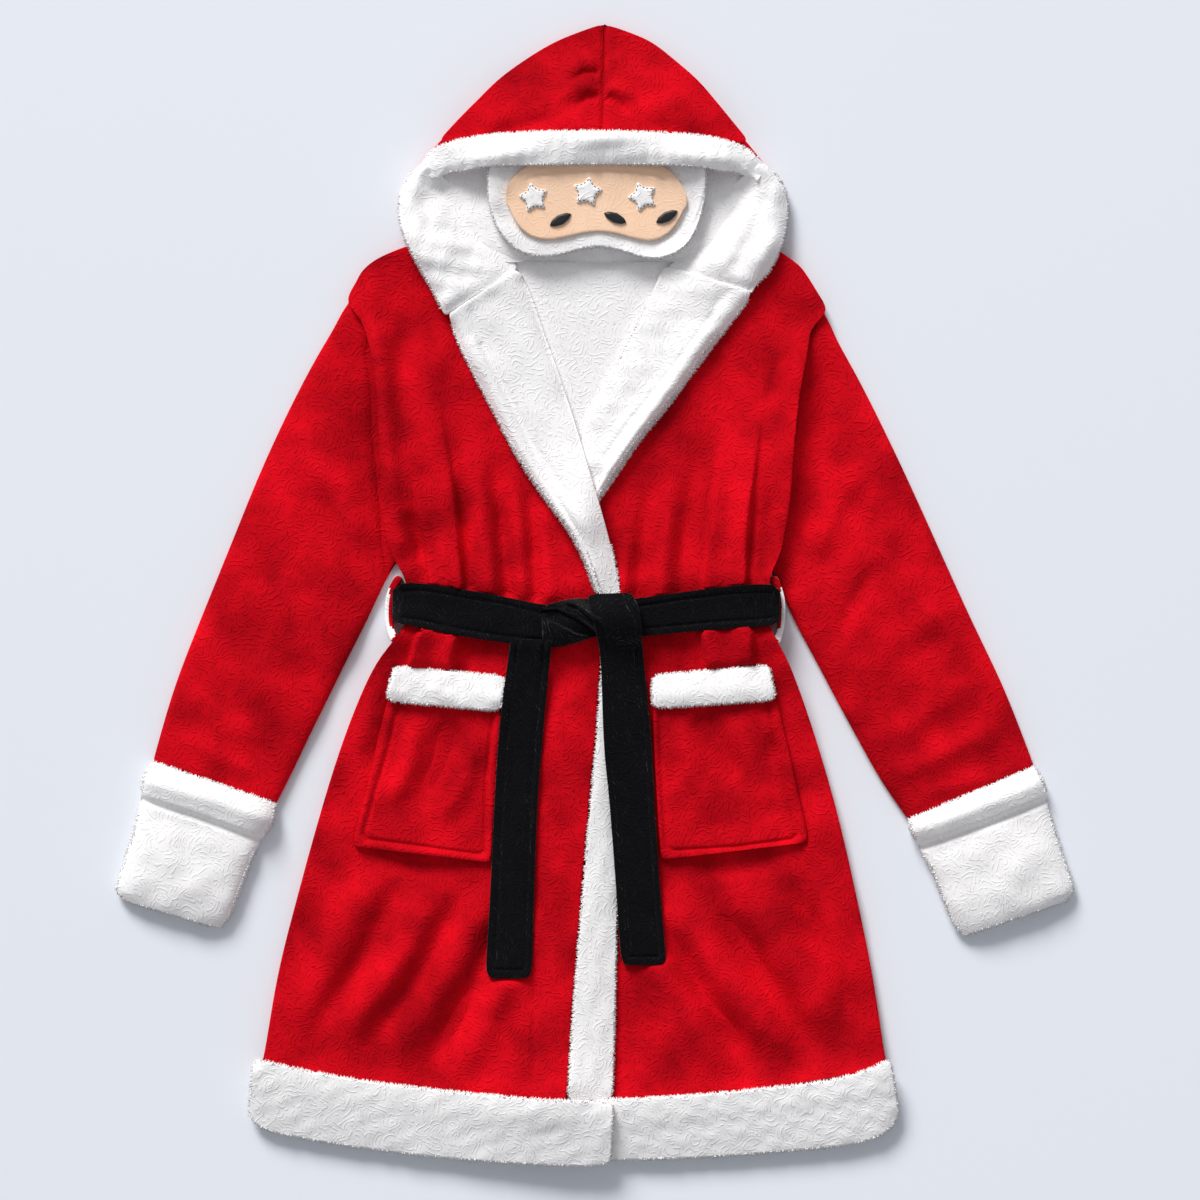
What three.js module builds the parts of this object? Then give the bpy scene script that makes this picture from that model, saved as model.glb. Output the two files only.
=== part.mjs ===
import * as THREE from 'three';

// A plush hooded robe with a tie belt, laid flat on its back with its fronts closed and its sleeves
// angled out. Millimetres. The floor is z = 0, +Y runs from the hem to the hood, and +X is the
// wearer's left. "Right" and "left" in names are the wearer's. The right front laps over the left.
// The pieces are laid one after another, as a dresser lays them, and each comes to rest on the cloth
// beneath it.

// Thicknesses of the cloths
const PLUSH = 5;          // red double-faced plush of body, sleeves and pockets
const LINING = 4;         // white plush inside the hood
const TRIM = 9;           // deep white plush of bands, lapels and hood edge
const STRAP = 6;          // belt, sewn double
const APPLIQUE = 3;       // smooth velour panel on the hood flap
const GAP = 0.3;          // between pieces that touch
const AIR = 3;            // most height left hollow beneath a fold or inside a flat tube

// Heights above the floor
const SLEEVE_CROWN = 15.5;
const TUBE_SIDE = 0.46;   // height of a flat tube's side fold, as a share of its crown
const TUBE_SHOULDER = 0.3; // share of its height that a flat tube loses next to its side folds
const LOOP_HEIGHT = 16;
const DOME_RIM = 5.3;     // underside of the hood's front at its outline
const DOME_RISE = 24;     // further rise of that underside at the middle of the brim
const DOME_HALF = 175;    // from the middle of the brim to where the rise ends
const DOME_TOP = 1190;    // y at which the dome starts to rise from the peak
const DOME_LENGTH = 110;  // over which it reaches its full rise
const FLAP_FOOT = 11;     // underside of the flap at its lower edge
const FLAP_HEAD = 27;     // underside of the flap at the brim
const FLAP_FOOT_Y = 955;
const FLAP_HEAD_Y = 1046;

// Colours and finishes
const cloth = (name, color, roughness) =>
  new THREE.MeshStandardMaterial({ name, color, roughness, metalness: 0 });
const redPlush = cloth('red_plush', 0xb80a18, 0.9);
const whitePlush = cloth('white_plush', 0xf4f2f0, 0.95);
const blackPlush = cloth('black_plush', 0x16181b, 0.9);
const peachVelour = cloth('peach_velour', 0xf6c39c, 0.85);

const robe = new THREE.Group();

// One column of a table, part-way between two rows, on a curve that never overshoots them
function column(rows, name, v) {
  const i = Math.min(Math.floor(v), rows.length - 2);
  const t = v - i;
  const step = (k) => (k < 0 || k > rows.length - 2 ? step(THREE.MathUtils.clamp(k, 0, rows.length - 2))
    : (rows[k + 1][name] ?? 0) - (rows[k][name] ?? 0));
  const slope = (before, after) => (before * after > 0 ? (2 * before * after) / (before + after) : 0);
  const start = slope(step(i - 1), step(i));
  const end = slope(step(i), step(i + 1));
  const h = t * t * (3 - 2 * t);
  return (rows[i][name] ?? 0) + h * step(i) + t * (1 - t) * (1 - t) * start - t * t * (1 - t) * end;
}

// The plan of a piece: u runs from end 0 to end 1 of a section, v from the first section to the last,
// and bow bends a section's middle to its left
function plan(rows) {
  return (u, v) => {
    const [x0, y0, x1, y1, bow] = ['x0', 'y0', 'x1', 'y1', 'bow'].map((name) => column(rows, name, v));
    const bend = (4 * bow * u * (1 - u)) / Math.hypot(x1 - x0, y1 - y0);
    return [x0 + (x1 - x0) * u - (y1 - y0) * bend, y0 + (y1 - y0) * u + (x1 - x0) * bend];
  };
}

const smooth = (from, to, value) => THREE.MathUtils.smoothstep(value, from, to);

// Height that a list of folds adds at a place: each is a soft ridge from (x0, y0) to (x1, y1) that
// starts from nothing and is highest at its far end, or in its middle where it fades at both
function foldHeight(folds, x, y) {
  let height = 0;
  for (const { x0, y0, x1, y1, wide, high, fades } of folds) {
    const length = Math.hypot(x1 - x0, y1 - y0);
    const along = ((x - x0) * (x1 - x0) + (y - y0) * (y1 - y0)) / length;
    const off = ((x - x0) * (y1 - y0) - (y - y0) * (x1 - x0)) / length;
    const t = along / length;
    const reach = fades
      ? smooth(0, 0.4, t) * (1 - smooth(0.6, 1, t))
      : smooth(0, 0.7, t) * (1 - smooth(1, 1 + wide / length, t));
    height += high * reach * Math.exp(-((off / wide) ** 2));
  }
  return height;
}

// The heap of cloth laid so far: the height of its top over each cell of the floor
const CELL = 2;
const CLEAR_CELLS = 1;    // cells round a place whose cloth must be cleared there
const LIFT_PASSES = 12;
const EASE_ROUNDS = 6;
const EASE = 0.5;         // share of the way that a point moves to its neighbours' mean
const MOST_DROP = 1.5;    // that an eased point is let down
const FLOOR = { x: -540, y: -40, columns: 540, rows: 640 };
const heap = new Float32Array(FLOOR.columns * FLOOR.rows);
const cellOf = (x, y) =>
  Math.round((y - FLOOR.y) / CELL) * FLOOR.columns + Math.round((x - FLOOR.x) / CELL);

function heapTop(cell) {
  let top = 0;
  for (let row = -CLEAR_CELLS; row <= CLEAR_CELLS; row += 1) {
    for (let side = -CLEAR_CELLS; side <= CLEAR_CELLS; side += 1) {
      top = Math.max(top, heap[cell + row * FLOOR.columns + side]);
    }
  }
  return top > 0 ? top + GAP : 0;
}

// The floor's cells under a net of points: those within its triangles, at its points and along its
// edges, each with the corners that carry it and their shares
function cellsUnder(points, across) {
  const cells = [];
  const first = (low, base) => base + Math.floor((low - base) / CELL) * CELL;
  const triangle = (a, b, c) => {
    const [[ax, ay], [bx, by], [cx, cy]] = [points[a], points[b], points[c]];
    const area = (bx - ax) * (cy - ay) - (cx - ax) * (by - ay);
    for (let y = first(Math.min(ay, by, cy), FLOOR.y); y <= Math.max(ay, by, cy) + CELL; y += CELL) {
      for (let x = first(Math.min(ax, bx, cx), FLOOR.x); x <= Math.max(ax, bx, cx) + CELL; x += CELL) {
        const toB = ((x - ax) * (cy - ay) - (cx - ax) * (y - ay)) / area;
        const toC = ((bx - ax) * (y - ay) - (x - ax) * (by - ay)) / area;
        const toA = 1 - toB - toC;
        if (toA >= 0 && toB >= 0 && toC >= 0) {
          cells.push({ cell: cellOf(x, y), corners: [a, b, c], shares: [toA, toB, toC] });
        }
      }
    }
  };
  const edge = (a, b) => {
    const [[ax, ay], [bx, by]] = [points[a], points[b]];
    const parts = Math.ceil(Math.hypot(bx - ax, by - ay) / CELL);
    for (let k = 0; k <= parts; k += 1) {
      const toB = k / parts;
      const cell = cellOf(ax + (bx - ax) * toB, ay + (by - ay) * toB);
      cells.push({ cell, corners: [a, b], shares: [1 - toB, toB] });
    }
  };
  const wide = across + 1;
  for (let a = 0; a < points.length; a += 1) {
    const inRow = a % wide < across;
    const above = a + wide < points.length;
    if (inRow) {
      edge(a, a + 1);
    }
    if (above) {
      edge(a, a + wide);
    }
    if (inRow && above) {
      triangle(a, a + 1, a + wide);
      triangle(a + 1, a + wide + 1, a + wide);
    }
  }
  return cells;
}

const heightIn = (z, { corners, shares }) =>
  corners.reduce((sum, corner, k) => sum + z[corner] * shares[k], 0);

// Lifts the underside of a net until no part of it cuts into the heap
function lift(z, cells) {
  for (let pass = 0; pass < LIFT_PASSES; pass += 1) {
    const last = pass === LIFT_PASSES - 1;
    for (const spot of cells) {
      const deep = spot.clear - heightIn(z, spot);
      if (deep > 0) {
        const spread = spot.shares.reduce((sum, share) => sum + share * share, 0);
        spot.corners.forEach((corner, k) => {
          z[corner] += last ? deep : (deep * spot.shares[k]) / spread;
        });
      }
    }
  }
}

// Brings a net to rest: lifts it clear of the heap, eases its points towards their neighbours as
// stiff cloth does, and lets it down where nothing is just beneath it
function settle(z, cells, across) {
  const wide = across + 1;
  for (const spot of cells) {
    spot.clear = heapTop(spot.cell);
  }
  lift(z, cells);
  for (let round = 0; round < EASE_ROUNDS; round += 1) {
    const before = [...z];
    before.forEach((height, k) => {
      const near = [];
      if (k % wide > 0) {
        near.push(before[k - 1]);
      }
      if (k % wide < across) {
        near.push(before[k + 1]);
      }
      if (k >= wide) {
        near.push(before[k - wide]);
      }
      if (k + wide < before.length) {
        near.push(before[k + wide]);
      }
      const mean = near.reduce((sum, value) => sum + value, 0) / near.length;
      z[k] = THREE.MathUtils.lerp(height, mean, EASE);
    });
    lift(z, cells);
  }
  const spare = z.map(() => MOST_DROP);
  for (const spot of cells) {
    const over = Math.max(0, heightIn(z, spot) - spot.clear);
    for (const corner of spot.corners) {
      spare[corner] = Math.min(spare[corner], over);
    }
  }
  spare.forEach((drop, k) => {
    z[k] -= drop;
  });
}

function layOn(points, top, cells) {
  for (const spot of cells) {
    heap[spot.cell] = Math.max(heap[spot.cell], heightIn(top, spot));
  }
  points.forEach(([x, y], k) => {
    heap[cellOf(x, y)] = Math.max(heap[cellOf(x, y)], top[k]);
  });
}

function addMesh(name, material, positions, faces) {
  const geometry = new THREE.BufferGeometry();
  geometry.setAttribute('position', new THREE.Float32BufferAttribute(positions, 3));
  geometry.setIndex(faces);
  geometry.computeVertexNormals();
  const mesh = new THREE.Mesh(geometry, material);
  mesh.name = name;
  robe.add(mesh);
}

// Two triangles on four corners that turn anticlockwise seen from outside, split from b to d. A net
// whose rows and columns turn the other way takes them backwards.
const quads = (faces, turn) => (a, b, c, d) =>
  (turn > 0 ? faces.push(a, b, d, b, c, d) : faces.push(a, d, b, d, c, b));

const evenly = (count) => Array.from({ length: count + 1 }, (_, k) => k / count);

// A sheet of cloth laid on the heap. columns are the places across each section, along the steps from
// one section to the next, wall(u, v) its thickness, folds its ridges, held(x, y) the height at which
// something else holds its underside up, and foot(v) is true where it reaches down to the floor.
function sheet(name, material, rows, options) {
  const { columns, along = 2, wall, folds = [], held = () => 0, foot = () => false } = options;
  const across = columns.length - 1;
  const at = plan(rows);
  const steps = (rows.length - 1) * along;
  const spots = [];
  for (let j = 0; j <= steps; j += 1) {
    for (const u of columns) {
      spots.push({ u, v: j / along });
    }
  }
  const points = spots.map(({ u, v }) => at(u, v));
  const [[ax, ay], [bx, by], [cx, cy]] = [points[0], points[across], points[points.length - 1]];
  const turn = Math.sign((bx - ax) * (cy - ay) - (cx - ax) * (by - ay));
  const cells = cellsUnder(points, across);
  const under = points.map(([x, y]) => Math.max(heapTop(cellOf(x, y)), held(x, y)));
  settle(under, cells, across);
  const rises = points.map(([x, y]) => foldHeight(folds, x, y));
  const top = points.map((_, k) => under[k] + rises[k] + wall(spots[k].u, spots[k].v));
  const bottom = points.map((_, k) => (foot(spots[k].v) ? 0 : under[k] + Math.min(rises[k], AIR)));
  layOn(points, top, cells);

  const positions = [];
  points.forEach(([x, y], k) => positions.push(x, y, top[k]));
  points.forEach(([x, y], k) => positions.push(x, y, bottom[k]));
  const faces = [];
  const face = quads(faces, turn);
  const wide = across + 1;
  const below = points.length;
  for (let j = 0; j < steps; j += 1) {
    for (let i = 0; i < across; i += 1) {
      const a = j * wide + i;
      face(a, a + 1, a + wide + 1, a + wide);
      face(below + a, below + a + wide, below + a + wide + 1, below + a + 1);
    }
    const start = j * wide;
    const end = start + across;
    face(start + wide, below + start + wide, below + start, start);
    face(end, below + end, below + end + wide, end + wide);
  }
  for (let i = 0; i < across; i += 1) {
    const last = steps * wide + i;
    face(i, below + i, below + i + 1, i + 1);
    face(last + 1, below + last + 1, below + last, last);
  }
  addMesh(name, material, positions, faces);
}

// A flat tube on the floor, open at both ends: a ring of points for each section, and the same ring a
// wall further in. The table's high column is the height of its crown.
function tube(name, material, rows, { across, along, wall, folds = [] }) {
  const at = plan(rows);
  const steps = (rows.length - 1) * along;
  const columns = evenly(across).map((t) => 0.5 - 0.5 * Math.cos(Math.PI * t));
  const crown = (u, v) => {
    const [x, y] = at(u, v);
    const edge = Math.abs(2 * u - 1) ** 5;
    return column(rows, 'high', v) * (1 - TUBE_SHOULDER * edge) + foldHeight(folds, x, y) * (1 - edge);
  };
  const positions = [];
  const ring = 2 * across;
  for (let j = 0; j <= steps; j += 1) {
    const v = j / along;
    const [[x0, y0], [x1, y1]] = [at(0, v), at(1, v)];
    const inset = wall / Math.hypot(x1 - x0, y1 - y0);
    for (const inside of [0, 1]) {
      for (let k = 0; k < ring; k += 1) {
        const i = k <= across ? k : ring - k;
        const u = THREE.MathUtils.lerp(inset * inside, 1 - inset * inside, columns[i]);
        const roof = crown(u, v);
        const ceiling = Math.min(roof - wall, wall + AIR);
        const [low, high] = inside ? [wall, ceiling] : [0, roof];
        const side = i === 0 || i === across;
        const z = side ? roof * TUBE_SIDE : (k < across ? low : high);
        positions.push(...at(u, v), z);
      }
    }
  }
  const faces = [];
  const [[ax, ay], [bx, by], [cx, cy]] = [at(0, 0), at(1, 0), at(0, steps / along)];
  const turn = Math.sign((bx - ax) * (cy - ay) - (cx - ax) * (by - ay));
  const face = quads(faces, -turn);
  for (let k = 0; k < ring; k += 1) {
    const next = (k + 1) % ring;
    for (let j = 0; j < steps; j += 1) {
      const outer = 2 * ring * j;
      const inner = outer + ring;
      face(outer + next, outer + 2 * ring + next, outer + 2 * ring + k, outer + k);
      face(inner + 2 * ring + k, inner + 2 * ring + next, inner + next, inner + k);
    }
    const last = 2 * ring * steps;
    face(ring + k, ring + next, next, k);
    face(last + k, last + next, last + ring + next, last + ring + k);
  }
  addMesh(name, material, positions, faces);

  const points = [];
  const top = [];
  for (let j = 0; j <= steps; j += 1) {
    for (const u of columns) {
      points.push(at(u, j / along));
      top.push(crown(u, j / along));
    }
  }
  layOn(points, top, cellsUnder(points, across));
}

// Belt at the back of the waist, flat on the floor under the back panel
const BELT_BACK = [
  { x0: -199.1, y0: 603, x1: -199.1, y1: 567 },
  { x0: -8, y0: 605, x1: -8, y1: 563 },
  { x0: 182.9, y0: 603, x1: 182.9, y1: 565 },
];
sheet('belt_back', blackPlush, BELT_BACK, { columns: evenly(2), along: 2, wall: () => STRAP });

// Hood: the back of it, flat on the floor, from the peak to the neck seam
const HOOD_BACK = [
  { x0: 5, y0: 1190, x1: 15, y1: 1190 },
  { x0: -44, y0: 1172, x1: 60, y1: 1172 },
  { x0: -85, y0: 1147, x1: 93, y1: 1147 },
  { x0: -120, y0: 1115, x1: 123, y1: 1115 },
  { x0: -162, y0: 1073, x1: 157, y1: 1073 },
  { x0: -188, y0: 1042, x1: 183, y1: 1042 },
  { x0: -201, y0: 1010, x1: 198, y1: 1010 },
  { x0: -198, y0: 984, x1: 196, y1: 984 },
  { x0: -190, y0: 964, x1: 188, y1: 964 },
];
sheet('hood_back', redPlush, HOOD_BACK, { columns: evenly(6), along: 1, wall: () => PLUSH });

// Back panel from the neck seam to the hem band: shoulders, armholes, waist and skirt
const BACK = [
  { x0: -189, y0: 962, x1: 184, y1: 962 },
  { x0: -222, y0: 950, x1: 196, y1: 951 },
  { x0: -241, y0: 936, x1: 217, y1: 937 },
  { x0: -250, y0: 922, x1: 230, y1: 917 },
  { x0: -257, y0: 904, x1: 240, y1: 896 },
  { x0: -232, y0: 870, x1: 217, y1: 862 },
  { x0: -202, y0: 815, x1: 188, y1: 810 },
  { x0: -188, y0: 765, x1: 172, y1: 760 },
  { x0: -185, y0: 720, x1: 166, y1: 710 },
  { x0: -192, y0: 665, x1: 170, y1: 655 },
  { x0: -199, y0: 632, x1: 180, y1: 622 },
  { x0: -197, y0: 618, x1: 181, y1: 614 },
  { x0: -195, y0: 604, x1: 180, y1: 602 },
  { x0: -195, y0: 570, x1: 180, y1: 568 },
  { x0: -205, y0: 556, x1: 186, y1: 554 },
  { x0: -227, y0: 527, x1: 201, y1: 527 },
  { x0: -263, y0: 443, x1: 231, y1: 443 },
  { x0: -289, y0: 359, x1: 255, y1: 359 },
  { x0: -312, y0: 275, x1: 274, y1: 275 },
  { x0: -333, y0: 191, x1: 291, y1: 191 },
  { x0: -348, y0: 106, x1: 305, y1: 106, bow: -35 },
];
sheet('back', redPlush, BACK, { columns: evenly(7), along: 1, wall: () => PLUSH });

// Sleeves: from the dropped armhole, bowed in under the front's side fold, to the cuff
const SLEEVE_RIGHT = [
  { x0: -261, y0: 901, x1: -207, y1: 630, bow: 42, high: 13 },
  { x0: -282, y0: 868, x1: -222, y1: 603, bow: 27, high: 14.5 },
  { x0: -308, y0: 821, x1: -237, y1: 569, bow: 14, high: SLEEVE_CROWN },
  { x0: -348, y0: 737, x1: -258, y1: 527, bow: 5, high: SLEEVE_CROWN },
  { x0: -382, y0: 653, x1: -277, y1: 488, high: SLEEVE_CROWN },
  { x0: -416, y0: 569, x1: -297, y1: 448, high: SLEEVE_CROWN },
  { x0: -444, y0: 496, x1: -314, y1: 412, high: SLEEVE_CROWN },
  { x0: -465, y0: 422, x1: -332, y1: 377, high: SLEEVE_CROWN },
];
const SLEEVE_LEFT = [
  { x0: 243, y0: 890, x1: 186, y1: 620, bow: -40, high: 13 },
  { x0: 256, y0: 865, x1: 198, y1: 590, bow: -25, high: 14.5 },
  { x0: 280, y0: 821, x1: 209, y1: 565, bow: -14, high: SLEEVE_CROWN },
  { x0: 321, y0: 737, x1: 231, y1: 523, bow: -5, high: SLEEVE_CROWN },
  { x0: 359, y0: 653, x1: 252, y1: 483, high: SLEEVE_CROWN },
  { x0: 397, y0: 569, x1: 275, y1: 441, high: SLEEVE_CROWN },
  { x0: 431, y0: 498, x1: 298, y1: 400, high: SLEEVE_CROWN },
  { x0: 462, y0: 417, x1: 326, y1: 360, high: SLEEVE_CROWN },
];
const SLEEVE_RIGHT_FOLDS = [
  { x0: -300, y0: 800, x1: -240, y1: 740, wide: 22, high: 4, fades: true },
  { x0: -400, y0: 640, x1: -290, y1: 560, wide: 24, high: 4, fades: true },
  { x0: -430, y0: 500, x1: -325, y1: 470, wide: 18, high: 3, fades: true },
  { x0: -370, y0: 450, x1: -420, y1: 405, wide: 16, high: 3, fades: true },
];
const SLEEVE_LEFT_FOLDS = [
  { x0: 285, y0: 790, x1: 225, y1: 700, wide: 22, high: 4, fades: true },
  { x0: 370, y0: 640, x1: 260, y1: 540, wide: 24, high: 4, fades: true },
  { x0: 400, y0: 520, x1: 300, y1: 480, wide: 18, high: 4, fades: true },
  { x0: 410, y0: 440, x1: 330, y1: 410, wide: 16, high: 4, fades: true },
];
tube('sleeve_right', redPlush, SLEEVE_RIGHT, { across: 8, along: 2, wall: PLUSH, folds: SLEEVE_RIGHT_FOLDS });
tube('sleeve_left', redPlush, SLEEVE_LEFT, { across: 8, along: 2, wall: PLUSH, folds: SLEEVE_LEFT_FOLDS });

// Cuffs: deep white plush turned back, with a thick roll at the top and a soft edge at the wrist
const CUFF_WALL = 6.5;
const CUFF_RIGHT = [
  { x0: -467, y0: 422.2, x1: -331.2, y1: 376.3, high: 20 },
  { x0: -477, y0: 403, x1: -333, y1: 357, high: 27 },
  { x0: -479, y0: 386, x1: -343, y1: 343, high: 25 },
  { x0: -480, y0: 376, x1: -349, y1: 333, high: 20 },
  { x0: -485, y0: 355, x1: -355, y1: 322, high: 22 },
  { x0: -499, y0: 308, x1: -373, y1: 275, high: 23 },
  { x0: -505, y0: 290, x1: -381, y1: 256, high: 21 },
  { x0: -497, y0: 277, x1: -391, y1: 246, high: 16 },
];
const CUFF_LEFT = [
  { x0: 464, y0: 417.3, x1: 325.3, y1: 359.3, high: 20 },
  { x0: 474, y0: 399, x1: 328, y1: 345, high: 27 },
  { x0: 477, y0: 384, x1: 334, y1: 334, high: 25 },
  { x0: 478, y0: 374, x1: 340, y1: 323, high: 20 },
  { x0: 484, y0: 352, x1: 347, y1: 312, high: 22 },
  { x0: 498, y0: 309, x1: 364, y1: 272, high: 23 },
  { x0: 505, y0: 289, x1: 374, y1: 248, high: 21 },
  { x0: 498, y0: 277, x1: 384, y1: 238, high: 16 },
];
tube('cuff_right', whitePlush, CUFF_RIGHT, { across: 6, along: 2, wall: CUFF_WALL });
tube('cuff_left', whitePlush, CUFF_LEFT, { across: 6, along: 2, wall: CUFF_WALL });

// Belt loops on the side seams, bulging outwards round the belt
const LOOP_RIGHT = [
  { x0: -208, y0: 617, x1: -200, y1: 613 },
  { x0: -216, y0: 603, x1: -209, y1: 601 },
  { x0: -220, y0: 586, x1: -212, y1: 585 },
  { x0: -220, y0: 569, x1: -212, y1: 570 },
  { x0: -216, y0: 554, x1: -209, y1: 557 },
  { x0: -212, y0: 545, x1: -204, y1: 549 },
];
const LOOP_LEFT = [
  { x0: 189, y0: 617, x1: 177, y1: 611 },
  { x0: 195, y0: 604, x1: 190, y1: 601 },
  { x0: 199, y0: 586, x1: 191, y1: 585 },
  { x0: 199, y0: 569, x1: 191, y1: 570 },
  { x0: 196, y0: 553, x1: 190, y1: 557 },
  { x0: 193, y0: 543, x1: 184, y1: 548 },
];
for (const [name, rows] of [['belt_loop_right', LOOP_RIGHT], ['belt_loop_left', LOOP_LEFT]]) {
  sheet(name, redPlush, rows, { columns: evenly(1), along: 2, wall: () => LOOP_HEIGHT });
}

// Hood lining under the brim and flap, down to the neck seam
const HOOD_LINING = [
  { x0: -92, y0: 1112, x1: 96, y1: 1112 },
  { x0: -128, y0: 1080, x1: 126, y1: 1080 },
  { x0: -152, y0: 1048, x1: 150, y1: 1048 },
  { x0: -166, y0: 1012, x1: 163, y1: 1012 },
  { x0: -164, y0: 984, x1: 160, y1: 984 },
  { x0: -146, y0: 960, x1: 142, y1: 960 },
  { x0: -120, y0: 944, x1: 116, y1: 944 },
];
sheet('hood_lining', whitePlush, HOOD_LINING, { columns: evenly(6), along: 1, wall: () => LINING });

// Hem band of the back
const HEM_BACK = [
  { x0: -350, y0: 106, x1: -360, y1: 54 },
  { x0: -333, y0: 98, x1: -348, y1: 39 },
  { x0: -254, y0: 83, x1: -266, y1: 21 },
  { x0: -152, y0: 74, x1: -163, y1: 9 },
  { x0: -20, y0: 68, x1: -20, y1: 4 },
  { x0: 110, y0: 74, x1: 116, y1: 9 },
  { x0: 249, y0: 92, x1: 268, y1: 22 },
  { x0: 285, y0: 99, x1: 300, y1: 35 },
  { x0: 303, y0: 104, x1: 315, y1: 53 },
];
const hemWall = (u) => TRIM * (1 - 0.35 * Math.abs(2 * u - 1) ** 4);
sheet('hem_back', whitePlush, HEM_BACK, { columns: evenly(3), along: 1, wall: hemWall });

// Left front: from the shoulder and neck to the hem band, lapped under the right front
const FRONT_LEFT = [
  { x0: 189, y0: 958, x1: 123, y1: 945 },
  { x0: 214, y0: 941, x1: 114, y1: 905 },
  { x0: 223, y0: 929, x1: 106, y1: 879 },
  { x0: 234, y0: 911, x1: 98, y1: 858 },
  { x0: 243, y0: 893, x1: 89, y1: 840 },
  { x0: 226, y0: 873, x1: 81, y1: 823 },
  { x0: 222, y0: 847, x1: 70, y1: 802 },
  { x0: 214, y0: 806, x1: 50, y1: 770 },
  { x0: 208, y0: 748, x1: 18, y1: 727 },
  { x0: 204, y0: 690, x1: -16, y1: 674 },
  { x0: 194, y0: 639, x1: -37, y1: 632 },
  { x0: 182, y0: 613, x1: -49, y1: 601 },
  { x0: 181, y0: 587, x1: -52, y1: 578 },
  { x0: 181.5, y0: 565, x1: -55, y1: 554 },
  { x0: 202, y0: 527, x1: -57, y1: 522 },
  { x0: 232, y0: 443, x1: -61, y1: 443 },
  { x0: 256, y0: 359, x1: -66, y1: 359 },
  { x0: 275, y0: 275, x1: -71, y1: 275 },
  { x0: 292, y0: 191, x1: -77, y1: 191 },
  { x0: 304, y0: 110, x1: -82, y1: 95, bow: 8 },
  { x0: 307, y0: 101, x1: -84, y1: 61, bow: 10 },
];
const FRONT_LEFT_FOLDS = [
  { x0: 196, y0: 790, x1: 168, y1: 618, wide: 13, high: 9 },
  { x0: 158, y0: 810, x1: 136, y1: 612, wide: 13, high: 8 },
  { x0: 112, y0: 780, x1: 101, y1: 608, wide: 13, high: 8 },
  { x0: 74, y0: 727, x1: 64, y1: 604, wide: 12, high: 7 },
  { x0: 48, y0: 700, x1: 36, y1: 600, wide: 10, high: 5 },
  { x0: 214, y0: 880, x1: 204, y1: 700, wide: 14, high: 5, fades: true },
  { x0: 160, y0: 500, x1: 152, y1: 552, wide: 12, high: 7 },
  { x0: 112, y0: 505, x1: 112, y1: 556, wide: 11, high: 6 },
  { x0: 75, y0: 260, x1: 215, y1: 110, wide: 26, high: 6, fades: true },
  { x0: 140, y0: 290, x1: 275, y1: 130, wide: 24, high: 6, fades: true },
  { x0: 55, y0: 190, x1: 120, y1: 80, wide: 22, high: 5, fades: true },
];
const PANEL_COLUMNS = evenly(13);
sheet('front_left', redPlush, FRONT_LEFT, { columns: PANEL_COLUMNS, wall: () => PLUSH, folds: FRONT_LEFT_FOLDS });

const HEM_LEFT = [
  { x0: -50, y0: 70, x1: -50, y1: 6 },
  { x0: 20, y0: 68, x1: 16, y1: 4 },
  { x0: 110, y0: 73, x1: 116, y1: 7 },
  { x0: 194, y0: 81, x1: 205, y1: 14 },
  { x0: 249, y0: 88, x1: 268, y1: 20 },
  { x0: 290, y0: 101, x1: 305, y1: 33 },
  { x0: 308, y0: 111, x1: 318, y1: 51 },
];
sheet('hem_left', whitePlush, HEM_LEFT, { columns: evenly(4), wall: hemWall });

// Lapels: a shawl of deep plush with a rolled outer edge, laid on its front. u = 0 is the roll.
const LAPEL_COLUMNS = [0, 0.08, 0.18, 0.26, 0.34, 0.55, 0.8, 1];
const lapelWall = (u) => TRIM * (u < 0.04 ? 0.8 : u < 0.2 ? 1.5 : u < 0.3 ? 0.9 : u < 0.9 ? 1.1 : 0.7);
const LAPEL_LEFT = [
  { x0: 165, y0: 909, x1: 70, y1: 938 },
  { x0: 134, y0: 870, x1: 59, y1: 909 },
  { x0: 92, y0: 814, x1: 37, y1: 865 },
  { x0: 70, y0: 785, x1: 18, y1: 826 },
  { x0: 49, y0: 760, x1: 2, y1: 795 },
  { x0: 26, y0: 727, x1: -13, y1: 765 },
  { x0: 2, y0: 692, x1: -22, y1: 727 },
  { x0: -11, y0: 674, x1: -32, y1: 695 },
];
sheet('lapel_left', whitePlush, LAPEL_LEFT, { columns: LAPEL_COLUMNS, wall: lapelWall });

// Right front, lapped over the left one
const FRONT_RIGHT = [
  { x0: -193, y0: 962, x1: -133, y1: 945 },
  { x0: -226, y0: 949, x1: -121, y1: 905 },
  { x0: -244, y0: 935, x1: -112, y1: 879 },
  { x0: -251, y0: 922, x1: -104, y1: 858 },
  { x0: -260, y0: 903, x1: -97, y1: 840 },
  { x0: -244, y0: 882, x1: -89, y1: 823 },
  { x0: -235, y0: 851, x1: -76, y1: 796 },
  { x0: -227, y0: 800, x1: -55, y1: 756 },
  { x0: -225, y0: 731, x1: -29, y1: 706 },
  { x0: -223, y0: 681, x1: -13, y1: 664 },
  { x0: -213, y0: 637, x1: 1, y1: 627 },
  { x0: -198, y0: 612, x1: 7, y1: 599 },
  { x0: -196, y0: 587, x1: 8, y1: 578 },
  { x0: -197.5, y0: 564, x1: 7, y1: 554 },
  { x0: -228, y0: 527, x1: 5, y1: 522 },
  { x0: -264, y0: 443, x1: 0, y1: 443 },
  { x0: -290, y0: 359, x1: -8, y1: 359 },
  { x0: -313, y0: 275, x1: -15, y1: 275 },
  { x0: -334, y0: 191, x1: -22, y1: 191 },
  { x0: -347, y0: 110, x1: -28, y1: 100, bow: -8 },
  { x0: -351, y0: 101, x1: -30, y1: 62, bow: -8 },
];
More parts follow.
